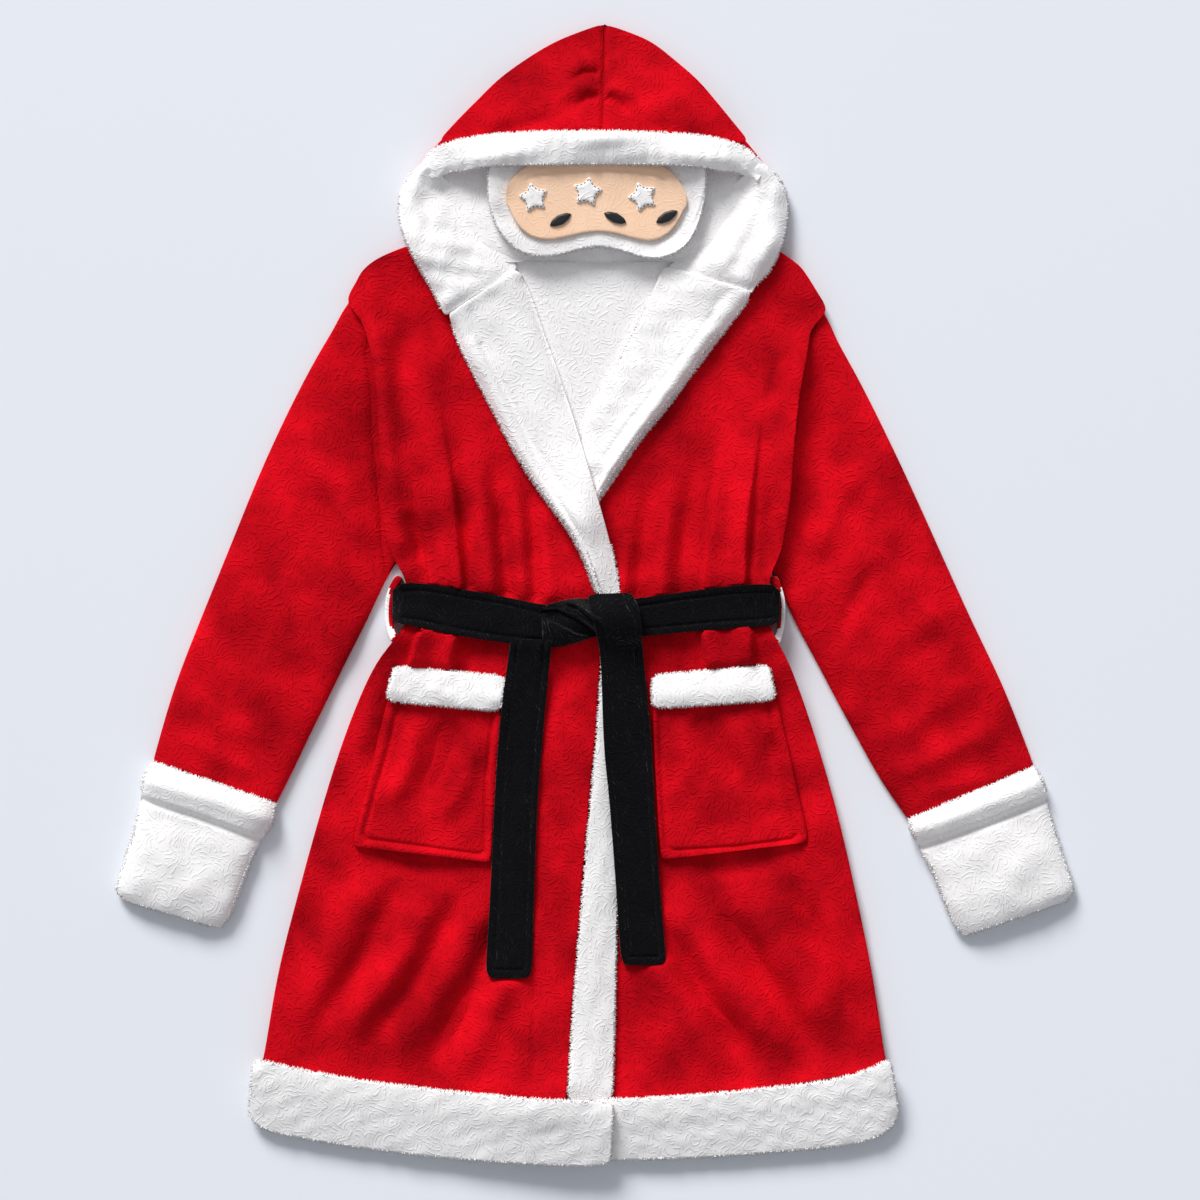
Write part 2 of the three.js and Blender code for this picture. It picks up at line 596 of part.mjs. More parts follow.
const FRONT_RIGHT_FOLDS = [
  { x0: -205, y0: 850, x1: -192, y1: 618, wide: 13, high: 9 },
  { x0: -172, y0: 830, x1: -156, y1: 614, wide: 13, high: 8 },
  { x0: -128, y0: 770, x1: -117, y1: 608, wide: 14, high: 8 },
  { x0: -86, y0: 717, x1: -77, y1: 602, wide: 12, high: 7 },
  { x0: -44, y0: 660, x1: -38, y1: 597, wide: 11, high: 5 },
  { x0: -228, y0: 880, x1: -216, y1: 700, wide: 14, high: 5, fades: true },
  { x0: -196, y0: 500, x1: -186, y1: 554, wide: 12, high: 7 },
  { x0: -150, y0: 496, x1: -144, y1: 548, wide: 11, high: 6 },
  { x0: -120, y0: 300, x1: -285, y1: 110, wide: 26, high: 6, fades: true },
  { x0: -70, y0: 270, x1: -205, y1: 95, wide: 24, high: 6, fades: true },
  { x0: -45, y0: 220, x1: -130, y1: 85, wide: 22, high: 5, fades: true },
];
sheet('front_right', redPlush, FRONT_RIGHT, { columns: PANEL_COLUMNS, wall: () => PLUSH, folds: FRONT_RIGHT_FOLDS });

// White band down the right front's edge, from the belt to the hem
const BAND_RIGHT = [
  { x0: 10, y0: 596, x1: 26, y1: 596 },
  { x0: 9, y0: 554, x1: 26, y1: 554 },
  { x0: 6, y0: 500, x1: 26, y1: 500 },
  { x0: 2, y0: 443, x1: 25, y1: 443 },
  { x0: -6, y0: 359, x1: 24, y1: 359 },
  { x0: -13, y0: 275, x1: 23, y1: 275 },
  { x0: -20, y0: 191, x1: 21, y1: 191 },
  { x0: -26, y0: 105, x1: 19, y1: 105 },
  { x0: -28, y0: 71, x1: 18, y1: 71 },
];
sheet('front_band_right', whitePlush, BAND_RIGHT, { columns: evenly(3), along: 2, wall: hemWall });

const HEM_RIGHT = [
  { x0: -356, y0: 111, x1: -363, y1: 53 },
  { x0: -338, y0: 106, x1: -350, y1: 37 },
  { x0: -254, y0: 89, x1: -266, y1: 20 },
  { x0: -152, y0: 77, x1: -163, y1: 7 },
  { x0: -67, y0: 70, x1: -70, y1: 1 },
  { x0: -5, y0: 67, x1: -5, y1: -1 },
  { x0: 19, y0: 66, x1: 16, y1: 2 },
];
sheet('hem_right', whitePlush, HEM_RIGHT, { columns: evenly(4), wall: hemWall });

const LAPEL_RIGHT = [
  { x0: -153, y0: 886, x1: -77, y1: 938 },
  { x0: -137, y0: 846, x1: -53, y1: 870 },
  { x0: -109, y0: 794, x1: -28, y1: 798 },
  { x0: -85, y0: 746, x1: -11, y1: 742 },
  { x0: -53, y0: 697, x1: 7, y1: 683 },
  { x0: -21, y0: 653, x1: 20, y1: 632 },
  { x0: -1, y0: 607, x1: 26, y1: 599 },
];
sheet('lapel_right', whitePlush, LAPEL_RIGHT, { columns: LAPEL_COLUMNS, wall: lapelWall });

// Patch pockets, each with a white band across its mouth
const POCKET_RIGHT = [
  { x0: -215, y0: 496, x1: -97, y1: 485 },
  { x0: -228, y0: 441, x1: -101, y1: 424 },
  { x0: -240, y0: 389, x1: -105, y1: 372 },
  { x0: -252, y0: 342, x1: -108, y1: 324 },
  { x0: -253, y0: 332, x1: -109, y1: 315 },
];
const POCKET_LEFT = [
  { x0: 60, y0: 489, x1: 188, y1: 496 },
  { x0: 62, y0: 427, x1: 201, y1: 441 },
  { x0: 65, y0: 374, x1: 212, y1: 391 },
  { x0: 68, y0: 328, x1: 222, y1: 347 },
  { x0: 69, y0: 318, x1: 222, y1: 336 },
];
const POCKET_BAND_RIGHT = [
  { x0: -210, y0: 521, x1: -93, y1: 510 },
  { x0: -214, y0: 503, x1: -96, y1: 492 },
  { x0: -218, y0: 485, x1: -98, y1: 474 },
];
const POCKET_BAND_LEFT = [
  { x0: 60, y0: 511, x1: 182, y1: 522 },
  { x0: 60, y0: 495, x1: 185, y1: 505 },
  { x0: 60, y0: 477, x1: 189, y1: 486 },
];
const bandWall = (u, v) => TRIM * (1 - 0.3 * Math.abs(v - 1) ** 3);
for (const [side, pouch, band] of [
  ['right', POCKET_RIGHT, POCKET_BAND_RIGHT],
  ['left', POCKET_LEFT, POCKET_BAND_LEFT],
]) {
  sheet(`pocket_${side}`, redPlush, pouch, { columns: evenly(6), wall: () => PLUSH });
  sheet(`pocket_band_${side}`, whitePlush, band, { columns: evenly(6), wall: bandWall });
}

// Hood sides: the rolled white edge from the brim down to the lapel, sloping in to the lining
const SIDE_COLUMNS = [0, 0.12, 0.28, 0.42, 0.6, 0.8, 1];
const sideWall = (u) => TRIM * (u < 0.05 ? 1 : u < 0.2 ? 2 : u < 0.3 ? 1.9 : u < 0.5 ? 1.2 : u < 0.9 ? 1 : 0.7);
const HOOD_SIDE_RIGHT = [
  { x0: -186, y0: 1044, x1: -152, y1: 1018 },
  { x0: -201, y0: 1025, x1: -142, y1: 1003 },
  { x0: -206, y0: 1003, x1: -130, y1: 987 },
  { x0: -201, y0: 975, x1: -117, y1: 972 },
  { x0: -185, y0: 941, x1: -100, y1: 958 },
  { x0: -168, y0: 911, x1: -87, y1: 948 },
  { x0: -157, y0: 889, x1: -79, y1: 941 },
];
const HOOD_SIDE_LEFT = [
  { x0: 181, y0: 1044, x1: 148, y1: 1018 },
  { x0: 196, y0: 1026, x1: 140, y1: 1003 },
  { x0: 202, y0: 1004, x1: 128, y1: 985 },
  { x0: 198, y0: 973, x1: 115, y1: 968 },
  { x0: 188, y0: 945, x1: 98, y1: 956 },
  { x0: 177, y0: 926, x1: 84, y1: 947 },
  { x0: 168, y0: 913, x1: 73, y1: 941 },
];
sheet('hood_side_right', whitePlush, HOOD_SIDE_RIGHT, { columns: SIDE_COLUMNS, wall: sideWall });
sheet('hood_side_left', whitePlush, HOOD_SIDE_LEFT, { columns: SIDE_COLUMNS, wall: sideWall });

// Hood front: two halves joined by a seam from the peak to the brim, domed over the head's space
const dome = (x, y) => {
  const side = Math.max(0, 1 - (x / DOME_HALF) ** 2);
  return DOME_RIM + DOME_RISE * side * smooth(0, DOME_LENGTH, DOME_TOP - y);
};
const HOOD_FRONT_RIGHT = [
  { x0: 3, y0: 1192, x1: 9.5, y1: 1193 },
  { x0: -38, y0: 1177, x1: 9.5, y1: 1170 },
  { x0: -73, y0: 1156, x1: 9, y1: 1150 },
  { x0: -101, y0: 1135, x1: 8.5, y1: 1131 },
  { x0: -122, y0: 1114, x1: 8, y1: 1111 },
  { x0: -144, y0: 1092, x1: 7.5, y1: 1092 },
  { x0: -166, y0: 1068, x1: 7, y1: 1072 },
];
const HOOD_FRONT_LEFT = [
  { x0: 18, y0: 1191, x1: 11.5, y1: 1193 },
  { x0: 56, y0: 1177, x1: 11.5, y1: 1170 },
  { x0: 83, y0: 1156, x1: 11, y1: 1150 },
  { x0: 107, y0: 1135, x1: 10.5, y1: 1131 },
  { x0: 125, y0: 1114, x1: 10, y1: 1111 },
  { x0: 143, y0: 1092, x1: 9.5, y1: 1092 },
  { x0: 163, y0: 1068, x1: 9, y1: 1072 },
];
const frontHood = { columns: evenly(6), wall: () => PLUSH, held: dome };
sheet('hood_front_right', redPlush, HOOD_FRONT_RIGHT, frontHood);
sheet('hood_front_left', redPlush, HOOD_FRONT_LEFT, frontHood);

// Flap in the shape of a sleep mask, hung from the brim: a white plush border, thinner in the middle
// where a velour panel lies in it
const FLAP = [
  { x0: -111, y0: 1041, x1: -111, y1: 1010 },
  { x0: -104, y0: 1049, x1: -104, y1: 982 },
  { x0: -90, y0: 1049, x1: -90, y1: 962 },
  { x0: -68, y0: 1049, x1: -68, y1: 949 },
  { x0: -40, y0: 1049, x1: -40, y1: 950 },
  { x0: -16, y0: 1049, x1: -16, y1: 958 },
  { x0: 3, y0: 1049, x1: 3, y1: 961 },
  { x0: 24, y0: 1049, x1: 24, y1: 958 },
  { x0: 44, y0: 1049, x1: 44, y1: 950 },
  { x0: 64, y0: 1049, x1: 64, y1: 946 },
  { x0: 85, y0: 1049, x1: 85, y1: 952 },
  { x0: 101, y0: 1049, x1: 101, y1: 966 },
  { x0: 111, y0: 1049, x1: 111, y1: 993 },
  { x0: 115, y0: 1041, x1: 115, y1: 1016 },
];
const FLAP_BORDER = 9;
const FLAP_MIDDLE = 4;
const flapWall = (u, v) => {
  const ends = smooth(1, 2.4, v) * smooth(1, 2.4, FLAP.length - 1 - v);
  return FLAP_BORDER - (FLAP_BORDER - FLAP_MIDDLE) * ends * (1 - smooth(0.72, 0.84, u));
};
const flapHeld = (x, y) => THREE.MathUtils.lerp(FLAP_FOOT, FLAP_HEAD, smooth(FLAP_FOOT_Y, FLAP_HEAD_Y, y));
sheet('hood_flap', whitePlush, FLAP, {
  columns: [0, 0.35, 0.7, 0.84, 0.93, 1], along: 1, wall: flapWall, held: flapHeld,
});
const FLAP_PANEL = [
  { x0: -93, y0: 1040, x1: -93, y1: 1012 },
  { x0: -84, y0: 1046, x1: -84, y1: 982 },
  { x0: -62, y0: 1047, x1: -62, y1: 965 },
  { x0: -38, y0: 1047, x1: -38, y1: 967 },
  { x0: -16, y0: 1047, x1: -16, y1: 973 },
  { x0: 3, y0: 1047, x1: 3, y1: 976 },
  { x0: 24, y0: 1047, x1: 24, y1: 973 },
  { x0: 42, y0: 1047, x1: 42, y1: 967 },
  { x0: 64, y0: 1047, x1: 64, y1: 963 },
  { x0: 84, y0: 1046, x1: 84, y1: 978 },
  { x0: 96, y0: 1040, x1: 96, y1: 1005 },
];
sheet('flap_panel', peachVelour, FLAP_PANEL, { columns: evenly(4), along: 1, wall: () => APPLIQUE });

// Brim: the turned-back white edge across the hood's opening
const BRIM = [
  { x0: -181, y0: 1048, x1: -158, y1: 1024 },
  { x0: -166, y0: 1063, x1: -149, y1: 1034 },
  { x0: -117, y0: 1075, x1: -111, y1: 1043 },
  { x0: -58, y0: 1078, x1: -58, y1: 1044 },
  { x0: 5, y0: 1078, x1: 5, y1: 1045 },
  { x0: 68, y0: 1077, x1: 68, y1: 1044 },
  { x0: 123, y0: 1073, x1: 119, y1: 1041 },
  { x0: 158, y0: 1062, x1: 148, y1: 1033 },
  { x0: 176, y0: 1047, x1: 160, y1: 1023 },
];
const brimWall = (u) => TRIM * (1.35 - 0.6 * Math.abs(2 * u - 1) ** 2);
sheet('hood_brim', whitePlush, BRIM, { columns: evenly(4), wall: brimWall, held: dome });

// Belt round the front of the waist: each stretch runs from the side, where it turns down to the floor
// and meets the back stretch, to the knot. Sections run along the belt, so v = 0 is the side.
const BELT_RIGHT = [
  { x0: -206, y0: 602, x1: -206, y1: 568 },
  { x0: -199.7, y0: 604, x1: -199.7, y1: 567 },
  { x0: -198.9, y0: 608, x1: -198.9, y1: 565 },
  { x0: -179, y0: 608, x1: -181, y1: 561 },
  { x0: -137, y0: 601, x1: -140, y1: 552 },
  { x0: -95, y0: 594, x1: -93, y1: 545 },
  { x0: -53, y0: 584, x1: -51, y1: 540 },
  { x0: -24, y0: 584, x1: -24, y1: 542 },
];
const BELT_LEFT = [
  { x0: 188.6, y0: 601, x1: 188.6, y1: 567 },
  { x0: 183.5, y0: 603, x1: 183.5, y1: 566 },
  { x0: 182.7, y0: 606, x1: 182.7, y1: 564 },
  { x0: 171, y0: 607, x1: 172, y1: 562 },
  { x0: 142, y0: 605, x1: 145, y1: 561 },
  { x0: 95, y0: 599, x1: 98, y1: 557 },
  { x0: 47, y0: 592, x1: 49, y1: 552 },
  { x0: 26, y0: 590, x1: 28, y1: 551 },
];
const beltStretch = {
  columns: [0, 0.16, 0.5, 0.84, 1], along: 1, wall: () => STRAP, foot: (v) => v <= 1,
};
sheet('belt_right', blackPlush, BELT_RIGHT, beltStretch);
sheet('belt_left', blackPlush, BELT_LEFT, beltStretch);

// Knot of the belt, and its two hanging tails; the left tail comes up over the knot
const KNOT = [
  { x0: -56, y0: 583, x1: -54, y1: 541 },
  { x0: -37, y0: 589, x1: -28, y1: 543 },
  { x0: -20, y0: 592, x1: -5, y1: 550 },
  { x0: 5, y0: 591, x1: 10, y1: 555 },
  { x0: 38, y0: 589, x1: 41, y1: 555 },
];
const knotWall = (u, v) => 4 + 12 * Math.sin(Math.PI * u) * smooth(0, 1.5, v) * (1 - 0.5 * smooth(3, 4, v));
sheet('belt_knot', blackPlush, KNOT, { columns: evenly(5), wall: knotWall });
const TAIL_RIGHT = [
  { x0: -88, y0: 549, x1: -44, y1: 549 },
  { x0: -91, y0: 527, x1: -47, y1: 527 },
  { x0: -101, y0: 443, x1: -55, y1: 443 },
  { x0: -105, y0: 380, x1: -60, y1: 380 },
  { x0: -110, y0: 275, x1: -64, y1: 275 },
  { x0: -114, y0: 206, x1: -66, y1: 206 },
  { x0: -110, y0: 195, x1: -70, y1: 195 },
];
const TAIL_LEFT = [
  { x0: -8, y0: 596, x1: 38, y1: 598 },
  { x0: -4, y0: 575, x1: 46, y1: 580 },
  { x0: 2, y0: 552, x1: 49, y1: 552 },
  { x0: 6, y0: 527, x1: 51, y1: 527 },
  { x0: 9, y0: 443, x1: 59, y1: 443 },
  { x0: 15, y0: 380, x1: 62, y1: 380 },
  { x0: 23, y0: 275, x1: 69, y1: 275 },
  { x0: 27, y0: 218, x1: 74, y1: 218 },
  { x0: 31, y0: 208, x1: 70, y1: 208 },
];
sheet('belt_tail_right', blackPlush, TAIL_RIGHT, { columns: evenly(3), along: 3, wall: () => STRAP });
sheet('belt_tail_left', blackPlush, TAIL_LEFT, { columns: evenly(3), along: 3, wall: () => STRAP });

// The origin is on the floor under the middle of the robe
const box = new THREE.Box3().setFromObject(robe);
const middle = box.getCenter(new THREE.Vector3());
robe.position.set(-middle.x, -middle.y, -box.min.z);

export default robe;
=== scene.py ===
import math

import bmesh
import bpy
import numpy as np
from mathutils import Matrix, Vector
from mathutils.bvhtree import BVHTree


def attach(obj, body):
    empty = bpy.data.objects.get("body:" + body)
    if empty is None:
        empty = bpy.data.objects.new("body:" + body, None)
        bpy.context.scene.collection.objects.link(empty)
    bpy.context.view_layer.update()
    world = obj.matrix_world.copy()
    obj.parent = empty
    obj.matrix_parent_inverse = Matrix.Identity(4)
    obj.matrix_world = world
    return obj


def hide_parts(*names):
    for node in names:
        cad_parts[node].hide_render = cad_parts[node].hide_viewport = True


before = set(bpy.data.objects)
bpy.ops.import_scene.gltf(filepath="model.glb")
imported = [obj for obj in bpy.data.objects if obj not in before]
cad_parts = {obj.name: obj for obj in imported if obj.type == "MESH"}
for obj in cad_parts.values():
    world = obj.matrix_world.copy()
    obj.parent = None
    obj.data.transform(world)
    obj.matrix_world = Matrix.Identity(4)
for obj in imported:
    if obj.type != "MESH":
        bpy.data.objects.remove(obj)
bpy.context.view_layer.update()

# Back panel: one piece of red embossed plush from the neck seam to the hem, flat on the floor, white on
# the inside of the neck. The plush is a knitted polyester with a short dense pile, pressed by a hot
# roller into curled strokes. The robe lies on it, so it shows only at the sides and from behind.
MM = 0.001
ROOT = "root"


def linear(shade):
    """An sRGB hex colour as the linear RGBA that the shader wants."""
    values = [int(shade[k:k + 2], 16) / 255 for k in (1, 3, 5)]
    return [v / 12.92 if v <= 0.04045 else ((v + 0.055) / 1.055) ** 2.4 for v in values] + [1]


def add_node(tree, kind, settings=None, inputs=None):
    """One node with its settings; an input is a value, or the output socket that feeds it."""
    node = tree.nodes.new("ShaderNode" + kind)
    for name, value in (settings or {}).items():
        setattr(node, name, value)
    for name, value in (inputs or {}).items():
        if isinstance(value, bpy.types.NodeSocket):
            tree.links.new(value, node.inputs[name])
        else:
            node.inputs[name].default_value = value
    return node


def principled(name, values):
    """A material whose shader has these values at its own sockets, and that shader."""
    material = bpy.data.materials.new(name)
    material.use_nodes = True
    shader = material.node_tree.nodes["Principled BSDF"]
    for label, value in values.items():
        shader.inputs[label].default_value = value
    return material, shader


def plush(name, face, painted_shade, depth, sheen, tint="#ffffff", patches=0.35):
    """Polyester plush in one colour. The pressed strokes lie in fans about 12 mm across, each fan
    turned its own way, so the eye sees short curved lines that cross; the pile between them is matt
    with a soft sheen. Its colour has painted sheen and shade: soft patches about 55 mm across go from
    the face colour towards the darker second colour, by up to the share given last."""
    stroke_period = 4.4
    fan_size = 12
    wander = 10
    fibre_share = 0.35
    noise_sizes = [("drift", 24, 1.0), ("breaks", 5.5, 1.5), ("fibres", 1.6, 2.0), ("painted_sheen", 55, 3.0)]
    material, shader = principled(name, {
        "Roughness": 0.92, "IOR": 1.5, "Specular IOR Level": 0.05,
        "Sheen Weight": sheen, "Sheen Tint": linear(tint), "Sheen Roughness": 0.45,
    })
    tree = material.node_tree

    place = add_node(tree, "TexCoord")
    in_mm = add_node(tree, "VectorMath", {"operation": "SCALE"},
                     {0: place.outputs["Object"], "Scale": 1 / MM})
    noise = {}
    for use, size, detail in noise_sizes:
        noise[use] = add_node(tree, "TexNoise", None,
                              {"Vector": in_mm.outputs[0], "Scale": 1 / size, "Detail": detail})
    centred = add_node(tree, "VectorMath", {"operation": "SUBTRACT"},
                       {0: noise["drift"].outputs["Color"], 1: (0.5, 0.5, 0.5)})
    spot = add_node(tree, "VectorMath", {"operation": "MULTIPLY_ADD"},
                    {0: centred.outputs[0], 1: (2 * wander, 2 * wander, 2 * wander),
                     2: in_mm.outputs[0]})
    fan = add_node(tree, "TexVoronoi", {"voronoi_dimensions": "2D"},
                   {"Vector": spot.outputs[0], "Scale": 1 / fan_size})
    local = add_node(tree, "VectorMath", {"operation": "SUBTRACT"},
                     {0: spot.outputs[0], 1: fan.outputs["Position"]})
    flat = add_node(tree, "VectorMath", {"operation": "MULTIPLY"},
                    {0: local.outputs[0], 1: (1, 1, 0)})
    chance = add_node(tree, "SeparateColor", None, {"Color": fan.outputs["Color"]})
    angle = add_node(tree, "Math", {"operation": "MULTIPLY"},
                     {0: chance.outputs["Red"], 1: 2 * math.pi})
    turned = add_node(tree, "VectorRotate", {"rotation_type": "Z_AXIS"},
                      {"Vector": flat.outputs[0], "Angle": angle.outputs[0]})
    away = add_node(tree, "VectorMath", {"operation": "SUBTRACT"},
                    {0: turned.outputs[0], 1: (fan_size * 0.75, 0, 0)})
    radius = add_node(tree, "VectorMath", {"operation": "LENGTH"}, {0: away.outputs[0]})
    phase = add_node(tree, "Math", {"operation": "MULTIPLY"},
                     {0: radius.outputs["Value"], 1: 2 * math.pi / stroke_period})
    wave = add_node(tree, "Math", {"operation": "SINE"}, {0: phase.outputs[0]})
    stroke = add_node(tree, "MapRange", {"interpolation_type": "SMOOTHSTEP"},
                      {"Value": wave.outputs[0], "From Min": 0.1, "From Max": 1.0})
    pressed = add_node(tree, "MapRange", {"interpolation_type": "SMOOTHSTEP"},
                       {"Value": noise["breaks"].outputs["Fac"], "From Min": 0.38, "From Max": 0.58})
    line = add_node(tree, "Math", {"operation": "MULTIPLY"},
                    {0: stroke.outputs[0], 1: pressed.outputs[0]})
    tuft = add_node(tree, "Math", {"operation": "MULTIPLY"},
                    {0: noise["fibres"].outputs["Fac"], 1: fibre_share})
    relief = add_node(tree, "Math", {"operation": "ADD"},
                      {0: tuft.outputs[0], 1: line.outputs[0]})
    bump = add_node(tree, "Bump", None,
                    {"Height": relief.outputs[0], "Distance": depth * MM, "Strength": 0.8})
    tree.links.new(bump.outputs[0], shader.inputs["Normal"])

    # Painted sheen and shade: soft patches of the pile are mixed from the face colour towards the darker
    # painted shade colour, up to the given share.
    patch = add_node(tree, "MapRange", None,
                     {"Value": noise["painted_sheen"].outputs["Fac"], "From Min": 0.3, "From Max": 0.7,
                      "To Min": 0.0, "To Max": patches})
    painted_nap_shade = add_node(tree, "Mix", {"data_type": "RGBA"},
                   {"Factor": patch.outputs[0], 6: linear(face), 7: linear(painted_shade)})
    tree.links.new(painted_nap_shade.outputs[2], shader.inputs["Base Color"])
    return material


# Each plush's second colour is its painted shade, mixed into the soft patches of painted sheen and shade.
WHITE = plush("white_embossed_plush", "#fbf8f7", "#dad2d1", 0.42, 0.1, patches=0.12)
RED = plush("red_embossed_plush", "#e40b1d", "#76010a", 0.8, 0.15, tint="#ff1020", patches=0.7)


def only(thing):
    """Makes one object the whole selection and the active one."""
    bpy.ops.object.select_all(action="DESELECT")
    thing.select_set(True)
    bpy.context.view_layer.objects.active = thing


def refine(piece, cuts):
    """Divides the faces that look up, for creases, and eases them."""
    top_slope = 0.35
    only(piece)
    bpy.ops.object.mode_set(mode="EDIT")
    bpy.ops.mesh.select_mode(type="FACE")
    bpy.ops.mesh.select_all(action="DESELECT")
    mesh = bmesh.from_edit_mesh(piece.data)
    for face in mesh.faces:
        face.select_set(face.normal.z > top_slope)
    bmesh.update_edit_mesh(piece.data)
    bpy.ops.mesh.subdivide(number_cuts=cuts, quadcorner="INNERVERT")
    bpy.ops.mesh.vertices_smooth(factor=0.5, repeat=2, xaxis=False, yaxis=False, zaxis=True)
    bpy.ops.object.mode_set(mode="OBJECT")


def softened(node, material, cuts=0):
    """A finished cloth on the form of its CAD solid: merged, rounded at its edges and smoothed. The
    edges between a wall and a broad side keep some of their firmness. Cuts divide its upper side."""
    merge_distance = 0.02
    wall_slope = 0.25
    firmness = 0.75
    levels = 2
    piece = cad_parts[node].copy()
    piece.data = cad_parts[node].data.copy()
    piece.parent = None
    piece.name = node + "_cloth"
    piece.data.name = node + "_cloth"
    for key in list(piece.keys()):
        del piece[key]
    bpy.context.scene.collection.objects.link(piece)
    piece.data.materials.clear()
    piece.data.materials.append(material)
    only(piece)
    bpy.ops.object.mode_set(mode="EDIT")
    bpy.ops.mesh.select_all(action="SELECT")
    bpy.ops.mesh.remove_doubles(threshold=merge_distance * MM)
    bpy.ops.mesh.tris_convert_to_quads(face_threshold=math.radians(60), shape_threshold=math.radians(75))
    bpy.ops.mesh.select_all(action="DESELECT")
    bpy.ops.mesh.select_mode(type="EDGE")
    mesh = bmesh.from_edit_mesh(piece.data)
    for edge in mesh.edges:
        upright = [abs(face.normal.z) < wall_slope for face in edge.link_faces]
        edge.select_set(len(upright) == 2 and upright[0] != upright[1])
    bmesh.update_edit_mesh(piece.data)
    bpy.ops.transform.edge_crease(value=firmness)
    bpy.ops.object.mode_set(mode="OBJECT")
    rounding = piece.modifiers.new("rounding", "SUBSURF")
    rounding.levels = levels
    rounding.render_levels = levels
    bpy.ops.object.modifier_apply(modifier="rounding")
    bpy.ops.object.shade_smooth()
    if cuts:
        refine(piece, cuts)
    return piece


def step(value, start, end):
    """Eases from 0 to 1 between the start and the end."""
    t = np.clip((value - start) / (end - start), 0, 1)
    return t * t * (3 - 2 * t)


def beside(x, y, line):
    """The nearest spot of a line of points, for each place: how far away it is, whether the place lies
    on the line's left (1) or right (-1), the number of the stretch that the spot is on and how far
    along, and every stretch's length."""
    lengths = np.array([math.dist(a[:2], b[:2]) for a, b in zip(line, line[1:])])
    away = np.full(x.shape, np.inf)
    side = np.ones(x.shape)
    stretch = np.zeros(x.shape, dtype=int)
    along = np.zeros(x.shape)
    for number, (start, end, length) in enumerate(zip(line, line[1:], lengths)):
        right, up = x - start[0], y - start[1]
        ux, uy = (end[0] - start[0]) / length, (end[1] - start[1]) / length
        run = np.clip(right * ux + up * uy, 0, length)
        gap = np.hypot(right - run * ux, up - run * uy)
        closer = gap < away
        away = np.where(closer, gap, away)
        side = np.where(closer, np.sign(ux * up - uy * right), side)
        stretch = np.where(closer, number, stretch)
        along = np.where(closer, run, along)
    return away, side, stretch, along, lengths


def crease_height(x, y, line, wide, high, steep=0, fade=(0.3, 0.3)):
    """Height in mm that one crease adds at each place: a soft ridge, or a trough where high is
    negative, along a line of points. steep of 1 or -1 makes it a pleat that drops off sharply on
    the line's left or right. fade gives the shares of its length over which it starts and ends."""
    drop = 0.16
    away, side, stretch, along, lengths = beside(x, y, line)
    starts = np.cumsum(lengths) - lengths
    reach = (starts[stretch] + along) / lengths.sum()
    ends = 1.0
    if fade[0]:
        ends = ends * step(reach, 0, fade[0])
    if fade[1]:
        ends = ends * step(1 - reach, 0, fade[1])
    shape = np.exp(-(away / wide) ** 2)
    if steep:
        shape = np.where(side == steep, np.exp(-(away / (drop * wide)) ** 2), shape)
    return high * ends * shape


def unevenness(x, y, seed, height, shortest=35, longest=110):
    """Slow waves in mm, different in each direction, as cloth has that was laid down by hand."""
    chance = np.random.default_rng(seed)
    total = np.zeros(x.shape)
    waves = 9
    for _ in range(waves):
        heading = chance.uniform(0, math.pi)
        length = chance.uniform(shortest, longest)
        shift = chance.uniform(0, 2 * math.pi)
        total += np.sin((x * math.cos(heading) + y * math.sin(heading)) * 2 * math.pi / length + shift)
    return height * total / math.sqrt(waves)


def points_of(piece, what="co"):
    """The places of a piece's points, or their normals, in rows of three."""
    values = np.empty(len(piece.data.vertices) * 3)
    piece.data.vertices.foreach_get(what, values)
    return values.reshape(-1, 3)


def move_points(piece, places):
    """Puts a piece's points at new places."""
    piece.data.vertices.foreach_set("co", places.ravel())
    piece.data.update()


def crease(piece, creases, seed, uneven=0.5, shortest=35, longest=110, depth=1.0):
    """Moves the upper side of a piece up and down by its creases and a little unevenness, and leaves
    the cloth a least thickness above the floor."""
    thinnest = 1.5
    places = points_of(piece)
    upward = step(points_of(piece, "normal")[:, 2], 0.1, 0.7)
    x, y = places[:, 0] / MM, places[:, 1] / MM
    height = unevenness(x, y, seed, uneven, shortest, longest)
    for one in creases:
        height = height + depth * crease_height(x, y, **one)
    places[:, 2] += height * upward * MM
    places[:, 2] = np.maximum(places[:, 2], thinnest * upward * MM)
    move_points(piece, places)


def declare(piece, node):
    """Hands a finished cloth to the frame: it stands for its node, and rides on the one body."""
    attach(piece, ROOT)
    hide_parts(node)


def face_with(piece, material, belongs):
    """Gives the faces whose centre and normal belong, in mm, a second material."""
    piece.data.materials.append(material)
    for face in piece.data.polygons:
        if belongs(face.center / MM, face.normal):
            face.material_index = 1


NECK_HALF_WIDTH = 150
WAIST_Y = 0
UPPER = 0.2
back = softened("back", RED)
crease(back, [], seed=3, uneven=0.2)
face_with(back, WHITE, lambda at, up: up.z > UPPER and abs(at.x) < NECK_HALF_WIDTH and at.y > WAIST_Y)
declare(back, "back")

# Belt behind the waist: a strap of black plush sewn double, running flat under the back panel from
# one belt loop to the other. Its long edges are folded in and stitched 8 mm from the edge.
# Its second colour is the painted shade of its soft patches of painted sheen and shade.
BLACK = plush("black_embossed_plush", "#0c0c0f", "#030304", 1.1, 0.14)
belt_back = softened("belt_back", BLACK)
declare(belt_back, "belt_back")

# Hood back: the half of the red plush hood that lies on the floor, shaped by a curved seam from the
# peak to the neck. It is joined to the back panel by the neck seam, and is white inside.
OPENING_HALF_WIDTH = 172
OPENING_TOP = 452
hood_back = softened("hood_back", RED)
crease(hood_back, [], seed=5, uneven=0.2)
face_with(hood_back, WHITE,
          lambda at, up: up.z > UPPER and abs(at.x) < OPENING_HALF_WIDTH and at.y < OPENING_TOP)
declare(hood_back, "hood_back")

